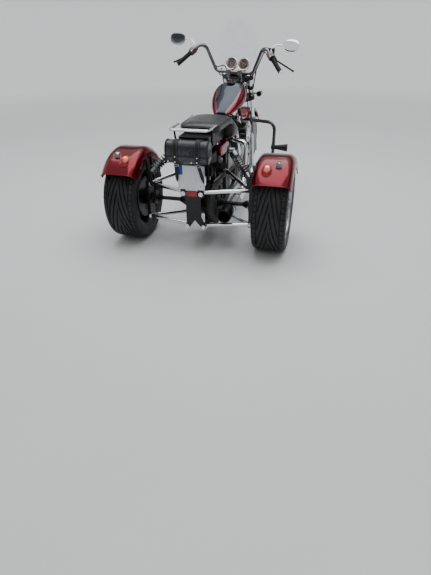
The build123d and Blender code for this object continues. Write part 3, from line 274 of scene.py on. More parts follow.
BARE = (0.55, 0.55, 0.56)
POLISH = dict(metal=1.0, grain=50, bump=0.02)
FINISHES = {
    "black_frame": dict(
        color=(0.004, 0.004, 0.005), rough=0.26, coat=0.12, spec=0.35, wear=BARE, worn=0.25, grain=120,
        bump=0.06, dust=0.04,
    ),
    "engine_silver": dict(
        color=(0.46, 0.46, 0.47), metal=1.0, rough=0.36, grain=420, bump=0.25, wear=(0.8, 0.8, 0.8), dust=0.3,
    ),
    "engine_fins": dict(
        color=(0.035, 0.035, 0.037), metal=0.2, rough=0.5, wear=(0.75, 0.75, 0.76), worn=1.0, edge=0.0012,
        dust=0.06,
    ),
    "chrome": dict(color=(0.83, 0.84, 0.86), rough=0.07, spread=0.07, tint=0.04, dust=0.05, **POLISH),
    "rack_chrome": dict(
        color=(0.83, 0.84, 0.86), rough=0.1, spread=0.07, tint=0.04, dust=0.0, paint=rack_paint, **POLISH,
    ),
    # painted reflection: a darker copy of chrome that paints in the dark surroundings the handlebar, shocks
    # and front rim reflect
    "dark_reflection_chrome": dict(color=(0.17, 0.175, 0.185), rough=0.06, spread=0.06, tint=0.05, dust=0.03, **POLISH),
    "black_gloss": dict(
        color=(0.008, 0.008, 0.009), rough=0.14, spread=0.1, coat=1.0, grain=90, bump=0.03, wear=BARE,
        worn=0.2,
    ),
    "black_satin": dict(color=(0.004, 0.004, 0.005), rough=0.34, grain=900, dust=0.015, spec=0.25),
    "seat_leather": dict(
        color=(0.008, 0.009, 0.012), rough=0.34, grain=750, bump=0.3, depth=0.0005, dust=0.06, tint=0.3,
        coat=0.15, cells=True,
    ),
    "bag_leather": dict(
        color=(0.007, 0.01, 0.017), rough=0.27, grain=520, bump=0.4, depth=0.0008, dust=0.02, tint=0.35,
        coat=0.5, cells=True,
    ),
    "belt_rubber": dict(color=(0.02, 0.02, 0.02), rough=0.6, grain=500, bump=0.3),
    "black_rubber": dict(color=(0.01, 0.01, 0.011), rough=0.5, grain=700, bump=0.3, dust=0.04, spec=0.35),
    "slider_alloy": dict(
        color=(0.25, 0.25, 0.26), metal=1.0, rough=0.2, bump=0.06, wear=(0.85, 0.85, 0.85),
        brushed=(1, 1, 0.05),
    ),
    "plate_blank": dict(
        color=(0.72, 0.75, 0.78), rough=0.34, grain=1500, bump=0.2, dust=0.25, paint=plate_paint,
    ),
    "tyre": dict(
        color=(0.008, 0.008, 0.0085), rough=0.6, spec=0.25, grain=520, bump=0.35, wear=(0.06, 0.058, 0.055),
        worn=0.4, tint=0.3, edge=0.002,
    ),
    # the rear tread's paint function darkens the groove floors as painted shade
    "rear_tread": dict(
        color=(0.017, 0.0185, 0.021), rough=0.5, spec=0.35, grain=520, bump=0.3, dust=0.08, tint=0.25,
        paint=tread_groove_shade,
    ),
    "wheel_alloy": dict(color=(0.36, 0.365, 0.38), metal=1.0, rough=0.2, grain=240, bump=0.08, dust=0.2),
    "wheel_black": dict(color=(0.006, 0.006, 0.007), rough=0.32, coat=0.15, spec=0.35, grain=240, bump=0.1),
    "disc_steel": dict(
        color=(0.045, 0.045, 0.05), metal=1.0, rough=0.32, bump=0.1, dust=0.05, brushed=(1, 0.1, 0.1),
    ),
    "thread": dict(color=(0.09, 0.095, 0.1), rough=0.6, grain=1500, bump=0.3),
    "mirror_glass": dict(
        color=(0.86, 0.9, 0.93), metal=1.0, rough=0.03, spread=0.03, tint=0.02, grain=30, bump=0.01,
        dust=0.08,
    ),
    "white_mark": dict(color=(0.8, 0.8, 0.78), rough=0.5, grain=900),
    "orange_mark": dict(color=(0.75, 0.12, 0.03), rough=0.45, grain=900),
    "dial_black": dict(color=(0.008, 0.008, 0.009), rough=0.45, grain=900, dust=0.0),
    "stud": dict(color=(0.78, 0.78, 0.8), metal=1.0, rough=0.15, grain=400, bump=0.05),
}
WINE = (0.15, 0.0, 0.007)
MATS = {name: surface(name, **look) for name, look in FINISHES.items()}
MATS["red_paint"] = candy("red_paint", WINE)
MATS["tank_paint"] = candy("tank_paint", WINE, panel=True)
MATS["clear_shield"] = glass("clear_shield", (0.985, 0.99, 0.992), ior=1.18)
MATS["gauge_glass"] = glass("gauge_glass", (0.97, 0.97, 0.98), 0.02)
MATS["red_lens"] = lens("red_lens", (0.3, 0.001, 0.002))
MATS["grey_lens"] = lens("grey_lens", (0.2, 0.2, 0.21))
MATS["amber_lens"] = lens("amber_lens", (0.85, 0.22, 0.01))
MATS["head_lens"] = lens("head_lens", (0.3, 0.32, 0.35), rib=160.0)


# Curves and meshes. A shape is (points, faces)
def turns(count):
    """Equal angles round a full turn."""
    return [2 * pi * i / count for i in range(count)]


def line(a, b, n):
    return [a + (b - a) * i / n for i in range(n + 1)]


def curve(table, t):
    xs, ys = zip(*table)
    return float(np.interp(t, xs, ys))


def squircle(a, power):
    """Point at angle a of a unit square rounded by a power."""
    c, s = cos(a), sin(a)
    far = (abs(c) ** power + abs(s) ** power) ** (-1 / power)
    return far * c, far * s


def dome(r, bulge, rows=7):
    """Half section of a domed disc."""
    quarter = line(0, pi / 2, rows)
    return [(r * cos(a), bulge * sin(a)) for a in quarter]


def loft(rings, caps=True, closed=True):
    """Skin over rings of equal length; rings is an array (rings, points, 3)."""
    rings = np.asarray(rings, float)
    rows, count = rings.shape[:2]
    faces = []
    for i in range(rows - 1):
        for j in range(count if closed else count - 1):
            a = i * count + j
            b = i * count + (j + 1) % count
            faces.append((a, b, b + count, a + count))
    if caps and closed:
        faces.append(tuple(range(count))[::-1])
        faces.append(tuple(range((rows - 1) * count, rows * count)))
    return rings.reshape(-1, 3), faces


def basis(axis):
    """An axis as a unit vector, and two unit vectors square to it."""
    a = Vector(axis).normalized()
    side = a.orthogonal() if abs(a.x) > 0.9 else a.cross(Vector(RIGHT))
    side.normalize()
    return a, side, a.cross(side)


def revolve(profile, origin, axis, count=48, stretch=1.0, loop=False):
    """Turn (radius, height) points about an axis; a looped profile is closed and has no end caps."""
    a, side, up = basis(axis)
    o = Vector(origin)
    rings = []
    for r, h in profile:
        rings.append([o + a * h + side * (r * cos(t)) + up * (r * stretch * sin(t)) for t in turns(count)])
    if loop:
        rings.append(rings[0])
    return loft(rings, caps=not loop)


def rounded(points, radius, steps=6):
    """Path with its corners rounded."""
    pts = [Vector(p) for p in points]
    path = [pts[0]]
    for a, b, c in zip(pts, pts[1:], pts[2:]):
        p = b + (a - b).normalized() * min(radius, (a - b).length * 0.49)
        q = b + (c - b).normalized() * min(radius, (c - b).length * 0.49)
        for t in line(0, 1, steps):
            path.append(p * (1 - t) ** 2 + b * 2 * t * (1 - t) + q * t * t)
    path.append(pts[-1])
    return path


def pipe(points, radius, count=10, closed=False, flat=1.0, flat_axis=None):
    """Round (or flattened) rod along a path; radius is one value or one for each point."""
    pts = [Vector(p) for p in points]
    radii = radius if isinstance(radius, list) else [radius] * len(pts)
    last = len(pts) - 1
    rings = []
    side = None
    for i, p in enumerate(pts):
        ahead = pts[(i + 1) % len(pts)] if closed else pts[min(i + 1, last)]
        behind = pts[i - 1] if closed else pts[max(i - 1, 0)]
        run = (ahead - behind).normalized()
        if flat_axis is not None:
            side = Vector(flat_axis) - run * run.dot(Vector(flat_axis))
        elif side is None:
            side = run.orthogonal()
        side = (side - run * run.dot(side)).normalized()
        up = run.cross(side)
        r = radii[i]
        rings.append([p + side * (r * cos(t)) + up * (r * flat * sin(t)) for t in turns(count)])
    if closed:
        rings.append(rings[0])
    return loft(rings, caps=not closed)


def hoop(corners, rounding, radius, count=6):
    """Closed wire loop through corners."""
    return pipe(rounded(corners + [corners[0]], rounding), radius, count)


def block(x, y, z):
    """Box from three spans."""
    corners = [(x[i], y[j], z[k]) for i in (0, 1) for j in (0, 1) for k in (0, 1)]
    faces = [(0, 1, 3, 2), (4, 6, 7, 5), (0, 4, 5, 1), (2, 3, 7, 6), (0, 2, 6, 4), (1, 5, 7, 3)]
    return np.array(corners, float), faces


def bolt(at, axis, r=0.006, h=0.005):
    """Hexagon head with a chamfer."""
    return revolve([(r, 0), (r, h * 0.7), (r * 0.82, h)], at, axis, 6)


def flipped(shape):
    """The same shape on the other side of the middle plane."""
    points = np.array(shape[0], float)
    points[:, 0] *= -1
    return points, [tuple(face)[::-1] for face in shape[1]]


def placed(shape, at):
    return shape[0] + np.array(at), shape[1]


def left_only(side, node):
    """The node that a pair stands for is named on its left piece."""
    return [node] if side == "left" else []


class Piece:
    """Shapes gathered into one named object."""

    def __init__(self):
        self.points = []
        self.faces = []
        self.tones = []
        self.count = 0

    def add(self, shape, tone=0):
        points = np.asarray(shape[0], float)
        self.points.append(points)
        self.faces += [tuple(i + self.count for i in face) for face in shape[1]]
        self.tones += [tone] * len(shape[1])
        self.count += len(points)
        return self

    def both(self, shape, tone=0):
        return self.add(shape, tone).add(flipped(shape), tone)

    def move(self, by):
        self.points = [points + np.array(by) for points in self.points]
        return self

    def mesh(self, name, mats, body, angle):
        points = np.concatenate(self.points)
        points[:, 1] += DATUM_Y
        if body in TURNED:
            turn = np.array(STEER)
            points = points @ turn[:3, :3].T + turn[:3, 3]
        mesh = bpy.data.meshes.new(name)
        mesh.from_pydata(points.tolist(), [], self.faces)
        mesh.validate()
        mesh.polygons.foreach_set("material_index", self.tones)
        mesh.polygons.foreach_set("use_smooth", [True] * len(mesh.polygons))
        mesh.update()
        mesh.set_sharp_from_angle(angle=radians(angle))
        for mat in mats:
            mesh.materials.append(MATS[mat])
        return mesh

    def make(
        self, name, mats, slot=None, stands_for=(), body="chassis", angle=32, bevel=0.0, sub=0, weld=True,
    ):
        """Object on a body, with the nodes it stands for hidden; slot is not used."""
        o = bpy.data.objects.new(name, self.mesh(name, mats, body, angle))
        bpy.context.scene.collection.objects.link(o)
        if weld:
            mod = o.modifiers.new("weld", "WELD")
            mod.merge_threshold = 1e-5
        if bevel:
            mod = o.modifiers.new("bevel", "BEVEL")
            mod.width = bevel
            mod.segments = 2
            mod.limit_method = "ANGLE"
            mod.angle_limit = radians(40)
        if sub:
            mod = o.modifiers.new("sub", "SUBSURF")
            mod.levels = sub
            mod.render_levels = sub
        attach(o, body)
        if stands_for:
            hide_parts(*stands_for)
        return o


# Tyres. The first four values, of the rear section, are millimetres and the others are metres
SHOULDER = 26
FLAT = TYRE_HALF * 1000 - SHOULDER
CROWN_R = 288
CROWN_DROP = 2.0
GROOVE = 0.0065
FRONT_R = 0.33
FRONT_SECTION = 0.048


def tyre_mesh(radius, columns, pitches, steps, shift, cut):
    """Tyre skin: columns are (x, r, across); shift shears the grid and cut gives the groove depth."""
    count = pitches * steps
    width = len(columns)
    row = np.arange(count)
    points = np.zeros((count, width, 3))
    for j, (x, r, across) in enumerate(columns):
        a = (row / count * 2 * pi * radius + shift(abs(across))) / radius
        deep = r - cut(row, across, steps)
        points[:, j] = np.stack([np.full(count, x), -deep * np.sin(a), deep * np.cos(a)], 1)
    faces = []
    for i in range(count):
        here = i * width
        there = (i + 1) % count * width
        for j in range(width - 1):
            faces.append((here + j, here + j + 1, there + j + 1, there + j))
    return points.reshape(-1, 3), faces


def mirrored(half):
    return [(-x, r, -across) for x, r, across in half[:0:-1]] + half


def rear_columns():
    """Columns over the flat tread, the round shoulder and the side wall with its bead step."""
    half = []
    tread = [0.0, 2, 3] + line(8, 56, 8)
    tread += [FLAT - v for v in (17, 15.5, 12.4, 11.6, 6.9, 6.1, 4, 2, 0)]
    for v in tread:
        half.append((v, CROWN_R - CROWN_DROP * (v / FLAT) ** 2, v))
    for deg in (14, 28, 42, 56, 70, 82, 90):
        t = radians(deg)
        r = CROWN_R - CROWN_DROP - SHOULDER * (1 - cos(t))
        half.append((FLAT + SHOULDER * sin(t), r, FLAT + SHOULDER * t))
    wall = [
        (25.8, 251), (25.2, 246), (24.2, 245), (23.7, 236), (24.1, 235), (22.2, 223), (19.8, 211),
        (18.5, 204), (16.0, 199),
    ]
    half += [(FLAT + x, r, FLAT + 45 + i) for i, (x, r) in enumerate(wall)]
    return mirrored([(x / 1000, r / 1000, v / 1000) for x, r, v in half])


def rear_shift(v):
    """Steep arrow grooves that flatten out at the shoulder."""
    flat = FLAT / 1000
    return 4.4 * min(v, flat - 0.012) + 0.25 * max(0.0, min(v, flat + 0.042) - flat + 0.012)


def rear_cut(row, across, steps):
    """Arrow grooves, one groove round each shoulder and short slits over the shoulder."""
    v = abs(across) * 1000
    lag = 0 if across >= 0 else steps // 2
    phase = (row + lag) % steps
    depth = np.zeros(len(row))
    if 2.5 < v < FLAT - 16:
        depth[(phase >= 1) & (phase <= 13)] = GROOVE * min(1.0, (v - 1) / 6)
    if FLAT - 12 < v < FLAT - 6.5:
        depth[:] = GROOVE
    if FLAT - 5.5 < v < FLAT + 35:
        depth[row % 12 < 2] = 0.0045
    return depth


def front_columns():
    half = []
    for deg in (0, 5, 9, 18, 27, 36, 45, 54, 60, 66, 72, 80, 90):
        t = radians(deg)
        r = FRONT_R - FRONT_SECTION * (1 - cos(t))
        half.append((FRONT_SECTION * sin(t), r, FRONT_SECTION * t))
    half += [(0.0485, 0.272, 0.09), (0.0465, 0.262, 0.1), (0.041, 0.254, 0.11), (0.034, 0.2465, 0.12)]
    return mirrored(half)


def front_shift(v):
    return 1.1 * min(v, 0.05)


def front_cut(row, across, steps):
    """Slanting slits and two thin grooves beside the middle."""
    v = abs(across) * 1000
    lag = 0 if across >= 0 else steps // 2
    phase = (row + lag) % steps
    depth = np.zeros(len(row))
    if 7 < v < 48:
        depth[(phase >= 1) & (phase <= 2)] = 0.004
    if 3 < v < 5:
        depth[:] = 0.003
    return depth


def tyres():
    rear = tyre_mesh(CROWN_R / 1000, rear_columns(), 15, 40, rear_shift, rear_cut)
    for side, k in SIDES.items():
        tread = Piece().add(placed(rear, (k * TRACK, AHEAD, AXLE_Z)))
        tread.make(
            f"tread_{side}", ["rear_tread"], "tyre", [f"rear_tyre_{side}"], f"rear_wheel_{side}", angle=38,
            weld=False,
        )
    front = tyre_mesh(FRONT_R, front_columns(), 44, 8, front_shift, front_cut)
    tread = Piece().add(placed(front, HUB))
    tread.make("tread_front", ["tyre"], "tyre", ["front_tyre"], "front_wheel", angle=38, weld=False)


# Rear wheels, written round their own centre with the outside towards +x
def bar(points, width, thick, chamfer=0.003):
    """Chamfered bar in the wheel's plane; points are (x, along, height)."""
    rings = []
    for i, p in enumerate(points):
        run = (points[min(i + 1, len(points) - 1)] - points[max(i - 1, 0)]).normalized()
        out = Vector(RIGHT) - run * run.x
        out.normalize()
        flat = run.cross(out)
        w = width[i] / 2
        t = thick[i] / 2
        section = ((w - chamfer, t), (w, t - chamfer), (w, -t), (-w, -t), (-w, t - chamfer), (chamfer - w, t))
        rings.append([p + flat * a + out * b for a, b in section])
    return loft(rings)


def rear_barrel(rim):
    """Polished lip outside and black well inside; the black of the well is painted shade inside the wheel."""
    w = RIM_HALF
    lip = [
        (0.1985, w - 0.003), (0.1995, w - 0.0008), (0.196, w), (0.1905, w), (0.1885, w - 0.004),
        (0.1875, w - 0.011), (0.184, w - 0.015), (0.182, 0.045), (0.182, 0.03), (0.188, 0.03),
        (0.197, w - 0.029),
    ]
    rim.add(revolve(lip, (0, 0, 0), RIGHT, 96, loop=True))
    # painted shade: the inner half of the barrel takes the black material for the shade inside the wheel
    well = [
        (0.182, 0.03), (0.179, 0.0), (0.179, -0.055), (0.184, 0.011 - w), (0.1905, 0.002 - w), (0.196, -w),
        (0.1985, 0.003 - w), (0.197, 0.029 - w), (0.188, 0.0), (0.188, 0.03),
    ]
    rim.add(revolve(well, (0, 0, 0), RIGHT, 96, loop=True), 1)


def rear_spokes(rim):
    """Ten spokes that fork towards the rim, with black webs behind; widths and depths in millimetres."""
    for i in range(10):
        turn = Matrix.Rotation(2 * pi * i / 10 + 0.1, 4, "X")
        limbs = [(((0.05, 0, 0.036), (0.058, 0, 0.07), (0.066, 0, 0.108)), (30, 24, 22), (30, 26, 22), 0)]
        for k in (-1, 1):
            arm = ((0.064, k * 0.002, 0.1), (0.07, k * 0.014, 0.136), (0.0775, k * 0.029, 0.186))
            limbs.append((arm, (18, 14, 16), (22, 20, 16), 0))
            web = ((0.045, k * 0.001, 0.09), (0.05, k * 0.013, 0.136), (0.055, k * 0.029, 0.184))
            limbs.append((web, (24, 20, 24), (20, 18, 20), 1))
        for path, widths, depths, tone in limbs:
            points = [turn @ Vector(p) for p in path]
            rim.add(bar(points, [w / 1000 for w in widths], [d / 1000 for d in depths]), tone)


def rear_hub(rim):
    """Hub with five nuts, brake disc and its bell, and the dark plate that closes the wheel, a painted shadow
    of the wheel's inside.
    """
    hub = [
        (0.0, 0.076), (0.024, 0.075), (0.03, 0.07), (0.033, 0.062), (0.046, 0.06), (0.056, 0.052),
        (0.058, -0.03), (0.0, -0.03),
    ]
    rim.add(revolve(hub, (0, 0, 0), RIGHT, 48))
    for a in turns(5):
        rim.add(bolt((0.056, 0.041 * sin(a), 0.041 * cos(a)), RIGHT, 0.009, 0.012), 2)
    disc = [(0.058, -0.084), (0.058, -0.076), (0.138, -0.076), (0.14, -0.08), (0.138, -0.084)]
    rim.add(revolve(disc, (0, 0, 0), RIGHT, 72, loop=True), 3)
    bell = [(0.0535, -0.084), (0.06, -0.084), (0.062, -0.03), (0.0535, -0.03)]
    rim.add(revolve(bell, (0, 0, 0), RIGHT, 48, loop=True), 1)
    # painted shade: this dark plate closes the wheel behind the spokes and stands for the shade inside it
    plate = [(0.0, -0.034), (0.14, -0.03), (0.178, -0.02), (0.178, -0.024), (0.14, -0.036), (0.0, -0.04)]
    rim.add(revolve(plate, (0, 0, 0), RIGHT, 64), 1)


def rear_wheel(side):
    rim = Piece()
    rear_barrel(rim)
    rear_spokes(rim)
    rear_hub(rim)
    if side == "left":
        points, rim.faces = flipped((np.concatenate(rim.points), rim.faces))
        rim.points = [points]
    rim.move((SIDES[side] * TRACK, AHEAD, AXLE_Z))
    mats = ["wheel_alloy", "wheel_black", "chrome", "disc_steel"]
    rim.make(f"rim_{side}", mats, "wheel_alloy", [f"rear_rim_{side}"], f"rear_wheel_{side}", angle=30)


# Rear fenders
HOOD_THICK = 0.004
HOOD_SHOULDER = 0.058
HOOD_SKIRT = 0.078


def ease(t):
    t = max(0.0, min(1.0, t))
    return t * t * (3 - 2 * t)


def hood_section(skirt):
    """(across, radius) points of the fender's outside, from the left skirt to the right one."""
    half = [(-HOOD_HALF, HOOD_R - skirt + (skirt - HOOD_SHOULDER) * k / 5) for k in range(5)]
    for k in range(9):
        t = radians(90 * k / 8)
        across = -HOOD_HALF + HOOD_SHOULDER * (1 - cos(t))
        half.append((across, HOOD_R - HOOD_SHOULDER + HOOD_SHOULDER * sin(t)))
    flat = HOOD_HALF - HOOD_SHOULDER
    crown = [(u, HOOD_R) for u in line(-flat, flat, 8)[1:-1]]
    return half + crown + [(-u, r) for u, r in half[::-1]]


def hood(from_deg, to_deg, steps=72):
    """Arched fender and the closed line of its edge; angles run from the top toward the rear."""
    outer = []
    inner = []
    slim = 1 - HOOD_THICK / HOOD_HALF
    for i, deg in enumerate(line(from_deg, to_deg, steps)):
        a = radians(deg)
        end = min(i, steps - i) / steps
        section = hood_section(HOOD_SKIRT - 0.02 * (1 - ease(end / 0.09)))
        outer.append(np.array([(u, -r * sin(a), r * cos(a)) for u, r in section]))
        low = [(u * slim, -(r - HOOD_THICK) * sin(a), (r - HOOD_THICK) * cos(a)) for u, r in section]
        inner.append(np.array(low[::-1]))
    skin = loft([np.concatenate([top, low]) for top, low in zip(outer, inner)])
    left = [ring[0] for ring in outer]
    right = [ring[-1] for ring in outer]
    edge = left + list(outer[-1][1:]) + right[-2::-1] + list(outer[0][-2:0:-1])
    return skin, edge


def rear_fenders():
    skin, edge = hood(-55, 49.4)
    for side, k in SIDES.items():
        at = np.array([k * TRACK, AHEAD, AXLE_Z])
        fender = Piece().add(placed(skin, at))
        roll = []
        for p in edge:
            inset = 0.003 * np.sign(p[0]) if abs(p[0]) > HOOD_HALF - 0.005 else 0
            roll.append(p + at - np.array([inset, 0, 0]))
        fender.add(pipe(roll, 0.0042, 8, closed=True))
        fender.make(f"fender_{side}", ["red_paint"], "red_paint", [f"rear_fender_{side}"], angle=40)


# Lamps on the rear fenders
def lens_skin(x, deg, wide, long, rise, rows=7, count=40):
    """Teardrop lens lying on a fender's crown, as rings from the rim to the top."""
    rings = []
    for t in line(0, pi / 2, rows):
        k = cos(t)
        ring = []
        for a in turns(count):
            across = wide * k * cos(a) * (1 + 0.16 * sin(a))
            turn = radians(deg) + long * k * sin(a) / HOOD_R
            high = HOOD_R + 0.001 + rise * sin(t) * (1 + 0.5 * sin(a) * k)
            ring.append((x + across, AHEAD - high * sin(turn), AXLE_Z + high * cos(turn)))
        rings.append(ring)
    return rings


def tail_lamps():
    """Lit red lenses; the hot spot sits a little above each lens's middle."""
    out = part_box("tail_lamps")[1].x - 0.032
    lean = radians(28.5)
    for side, k in SIDES.items():
        rings = lens_skin(k * out, 31.2, 0.031, 0.05, 0.018)
        bulb = (k * out, DATUM_Y + AHEAD - 0.358 * sin(lean), AXLE_Z + 0.358 * cos(lean))
        lit = f"lit_red_{side}"
        MATS[lit] = lens(lit, (0.16, 0.0, 0.0), (1.0, 0.2, 0.006), bulb, 0.028, 11.0)
        lamp = Piece().add(loft(rings))
        lamp.add(pipe(rings[0], 0.0026, 8, closed=True), 1)
        nodes = left_only(side, "tail_lamps")
        lamp.make(f"tail_lamp_{side}", [lit, "black_gloss"], "red_lens", nodes, angle=60)


def rear_indicators():
    low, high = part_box("rear_indicators")
    ring = [(0.0164, -0.002), (0.0168, 0.004), (0.0185, 0.005), (0.02, 0.001), (0.02, -0.03), (0.0164, -0.03)]
    for side, k in SIDES.items():
        o = Vector((k * (high.x - 0.02), low.y - DATUM_Y + 0.01, AXLE_Z + 0.314))
        lamp = Piece().add(revolve(dome(0.0164, 0.009), o, BACK, 40))
        lamp.add(revolve(ring, o, BACK, 40, loop=True), 1)
        nodes = left_only(side, "rear_indicators")
        lamp.make(f"rear_indicator_{side}", ["grey_lens", "chrome"], "grey_lens", nodes)


# Seat
def pad_ring(y, half, low, mid, high, over, under, count):
    """Ring of a stuffed shape at y, rounded by one power over its middle and by another under it."""
    ring = []
    for a in turns(count):
        across, up = squircle(a, over if sin(a) > 0 else under)
        tall = high - mid if up > 0 else mid - low
        ring.append((half * across, y, mid + tall * up))
    return ring


PASSENGER_WIDE = [
    (-0.02, 0.084), (-0.014, 0.1), (0.0, 0.118), (0.025, 0.13), (0.1, 0.134), (0.25, 0.138), (0.33, 0.15),
    (0.374, 0.146),
]


def pad(stations, width, top, bottom, over, under):
    """Stuffed pad along y between bottom and top, shrunk at both ends."""
    rings = []
    for y in stations:
        low, high = curve(bottom, y), curve(top, y)
        mid = (high + low) / 2 - (high - low) * 0.12
        edge = min(y - stations[0], stations[-1] - y)
        shrink = 1 - (1 - min(1.0, edge / 0.012)) ** 2 * 0.35
        half = curve(width, y) * (0.55 + 0.45 * shrink)
        ends = mid - (mid - low) * shrink, mid, mid + (high - mid) * shrink
        rings.append(pad_ring(y, half, *ends, over, under, 40))
    return loft(rings)


def seat_pads():
    """Flat passenger's pad behind the lower, dished driver's pad."""
    passenger = pad(
        [-0.02, -0.016, -0.008] + line(0.004, 0.35, 16) + [0.362, 0.37, 0.374],
        PASSENGER_WIDE,
        [(-0.02, 0.788), (0.0, 0.798), (0.05, 0.803), (0.33, 0.803), (0.374, 0.79)],
        [(-0.02, 0.745), (0.29, 0.745), (0.374, 0.70)],
        over=2.7, under=5.0,
    )
    driver = pad(
        [0.3, 0.305, 0.315] + line(0.33, 0.56, 16) + [0.572, 0.58, 0.584],
        [(0.3, 0.148), (0.34, 0.162), (0.4, 0.166), (0.46, 0.156), (0.52, 0.124), (0.584, 0.082)],
        [
            (0.3, 0.79), (0.345, 0.8), (0.375, 0.782), (0.42, 0.75), (0.47, 0.732), (0.52, 0.729),
            (0.584, 0.742),
        ],
        [(0.3, 0.64), (0.42, 0.64), (0.5, 0.668), (0.584, 0.69)],
        over=2.8, under=3.6,
    )
    seat = Piece().add(passenger).add(driver)
    seat.make("seat_pads", ["seat_leather"], "seat_leather", ["seat"], angle=50, sub=1)


def seat_piping():
    """Rubber piping along both sides of the passenger's pad and round its back."""
    edge = [(-0.02, 0.778), (0.0, 0.785), (0.35, 0.788)]
    side = [(curve(PASSENGER_WIDE, y) * 0.965, y, curve(edge, y)) for y in line(-0.0165, 0.35, 24)]
    x, y, z = side[0]
    piping = Piece().both(pipe(rounded(side, 0.01), 0.0028, 8))
    piping.add(pipe(rounded([(x, y, z), (0, -0.0205, 0.778), (-x, y, z)], 0.05), 0.0028, 8))
    piping.make("seat_piping", ["black_rubber"], "seat_leather")


# Tool bag, written round x = 0 and moved to its place; BAG_HALF, BAG_DEEP and BAG_HIGH are half sizes
bag_lo, bag_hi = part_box("tool_bag")
BAG_X = (bag_hi.x + bag_lo.x) / 2
BAG_HALF = (bag_hi.x - bag_lo.x) / 2
BAG_BACK = bag_lo.y - DATUM_Y
BAG_DEEP = (bag_hi.y - bag_lo.y) / 2
BAG_HIGH = (bag_hi.z - bag_lo.z) / 2
BAG_Y = BAG_BACK + BAG_DEEP
BAG_Z = bag_lo.z + BAG_HIGH


def bag_ring(x, k, lift=0.0):
    ring = []
    for a in turns(48):
        back, up = squircle(a, 2.7)
        ring.append((x, BAG_Y + (BAG_DEEP * k + lift) * back, BAG_Z + (BAG_HIGH * k + lift) * up))
    return ring


def bag_body():
    """Soft roll, a little slack between its straps."""
    ends = [(0.0, 0.8), (0.003, 0.9), (0.009, 0.965), (0.02, 0.985)]
    half = [(x - BAG_HALF, k) for x, k in ends] + [(-0.09, 0.97), (-0.045, 0.985), (0, 0.975)]
    whole = half + [(-x, k) for x, k in half[-2::-1]]
    body = Piece().add(loft([bag_ring(x, k - 0.02) for x, k in whole])).move((BAG_X, 0, 0))
    body.make("bag_body", ["bag_leather"], "bag_leather", ["tool_bag"], angle=60, sub=1)


def bag_straps(trim):
    """Bead at each end, and two straps with stitched edges."""
    for s in (-1, 1):
        trim.add(pipe(bag_ring(s * (BAG_HALF - 0.006), 0.955), 0.003, 8, closed=True))
        at = s * 0.068
        section = ((-0.017, 0.0), (-0.016, 0.0025), (0.016, 0.0025), (0.017, 0.0))
        trim.add(loft([bag_ring(at + d, 0.975, lift) for d, lift in section], caps=False))
        for d in (-0.0125, 0.0125):
            trim.add(pipe(bag_ring(at + d, 0.975, 0.003), 0.0009, 5, closed=True), 2)


def bag_flap(trim):
    """Studs, buckle and the flap's edge with its seam, on the bag's back."""
    studs = ((-0.112, 0.024), (-0.068, 0.022), (0.034, 0.022), (0.068, 0.024), (-0.068, 0.052), (0.068, 0.05))
    for x, z in studs:
        trim.add(revolve(dome(0.0052, 0.0036, 4), (x, BAG_BACK + 0.001, bag_lo.z + z), BACK, 12), 1)
    low = BAG_Z - 0.004
    high = BAG_Z + 0.018
    buckle = [(x, BAG_BACK, z) for x, z in ((0.026, low), (0.05, low), (0.05, high), (0.026, high))]
    trim.add(hoop(buckle, 0.004, 0.0024))
    for drop, radius, tone in ((0.0, 0.0026, 0), (0.006, 0.001, 2)):
        edge = []
        for x in line(-BAG_HALF + 0.014, BAG_HALF - 0.014, 16):
            edge.append((x, BAG_BACK + 0.0015, BAG_Z - 0.014 - drop - 0.006 * (x / BAG_HALF) ** 2))
        trim.add(pipe(edge, radius, 8), tone)


def bag_tails(trim):
    """Two loose strap ends, each under a chrome loop."""
    y = BAG_BACK + 0.03
    z = bag_lo.z
    for x, lean in ((-0.075, 0.0), (0.062, 0.034)):
        tail = [(x + lean * t, y + 0.004 + 0.012 * t, z + 0.012 - 0.125 * t) for t in line(0.0, 1.0, 8)]
        trim.add(pipe(tail, [0.011] * 7 + [0.008, 0.003], 10, flat=0.16, flat_axis=RIGHT))
        loop = [(x - 0.014, y, z - 0.012), (x + 0.016, y, z - 0.012), (x + 0.018, y, z - 0.001)]
        trim.add(hoop(loop + [(x - 0.012, y, z - 0.001)], 0.003, 0.0018), 1)


def bag_trim():
    trim = Piece()
    bag_straps(trim)
    bag_flap(trim)
    bag_tails(trim)
    trim.move((BAG_X, 0, 0)).make("bag_trim", ["black_rubber", "stud", "thread"], "bag_leather")


# Fuel tank
TANK_REAR = 0.592
TANK_FRONT = 1.022
TANK_TOP = [
    (TANK_REAR, 0.772), (0.62, 0.79), (0.7, 0.834), (0.8, 0.884), (0.87, 0.922), (0.925, 0.944),
    (0.96, 0.942), (0.99, 0.93), (1.01, 0.905), (TANK_FRONT, 0.875),
]
TANK_LOW = [
    (TANK_REAR, 0.742), (0.7, 0.757), (0.85, 0.782), (0.95, 0.798), (1.005, 0.812), (TANK_FRONT, 0.84),
]
TANK_WIDE = [
    (TANK_REAR, 0.05), (0.62, 0.068), (0.7, 0.1), (0.78, 0.122), (0.85, 0.131), (0.9, 0.129),
    (0.95, 0.118), (0.99, 0.101), (1.01, 0.084), (TANK_FRONT, 0.06),
]


def tank_shell():
    """Teardrop tank with rounded ends."""
    rings = []
    for y in [TANK_REAR, 0.594, 0.6] + line(0.612, 0.99, 22) + [1.0, 1.01, 1.018, TANK_FRONT]:
        low, high = curve(TANK_LOW, y), curve(TANK_TOP, y)
        mid = low + (high - low) * 0.4
        end = min(1.0, min(y - TANK_REAR, TANK_FRONT - y) / 0.012)
        shrink = 0.72 + 0.28 * sqrt(max(0.0, 1 - (1 - end) ** 2))
        ends = mid - (mid - low) * shrink, mid, mid + (high - mid) * shrink
        rings.append(pad_ring(y, curve(TANK_WIDE, y) * shrink, *ends, 2.25, 3.2, 56))
    Piece().add(loft(rings)).make("tank_shell", ["tank_paint"], "tank_paint", ["fuel_tank"], angle=60, sub=1)


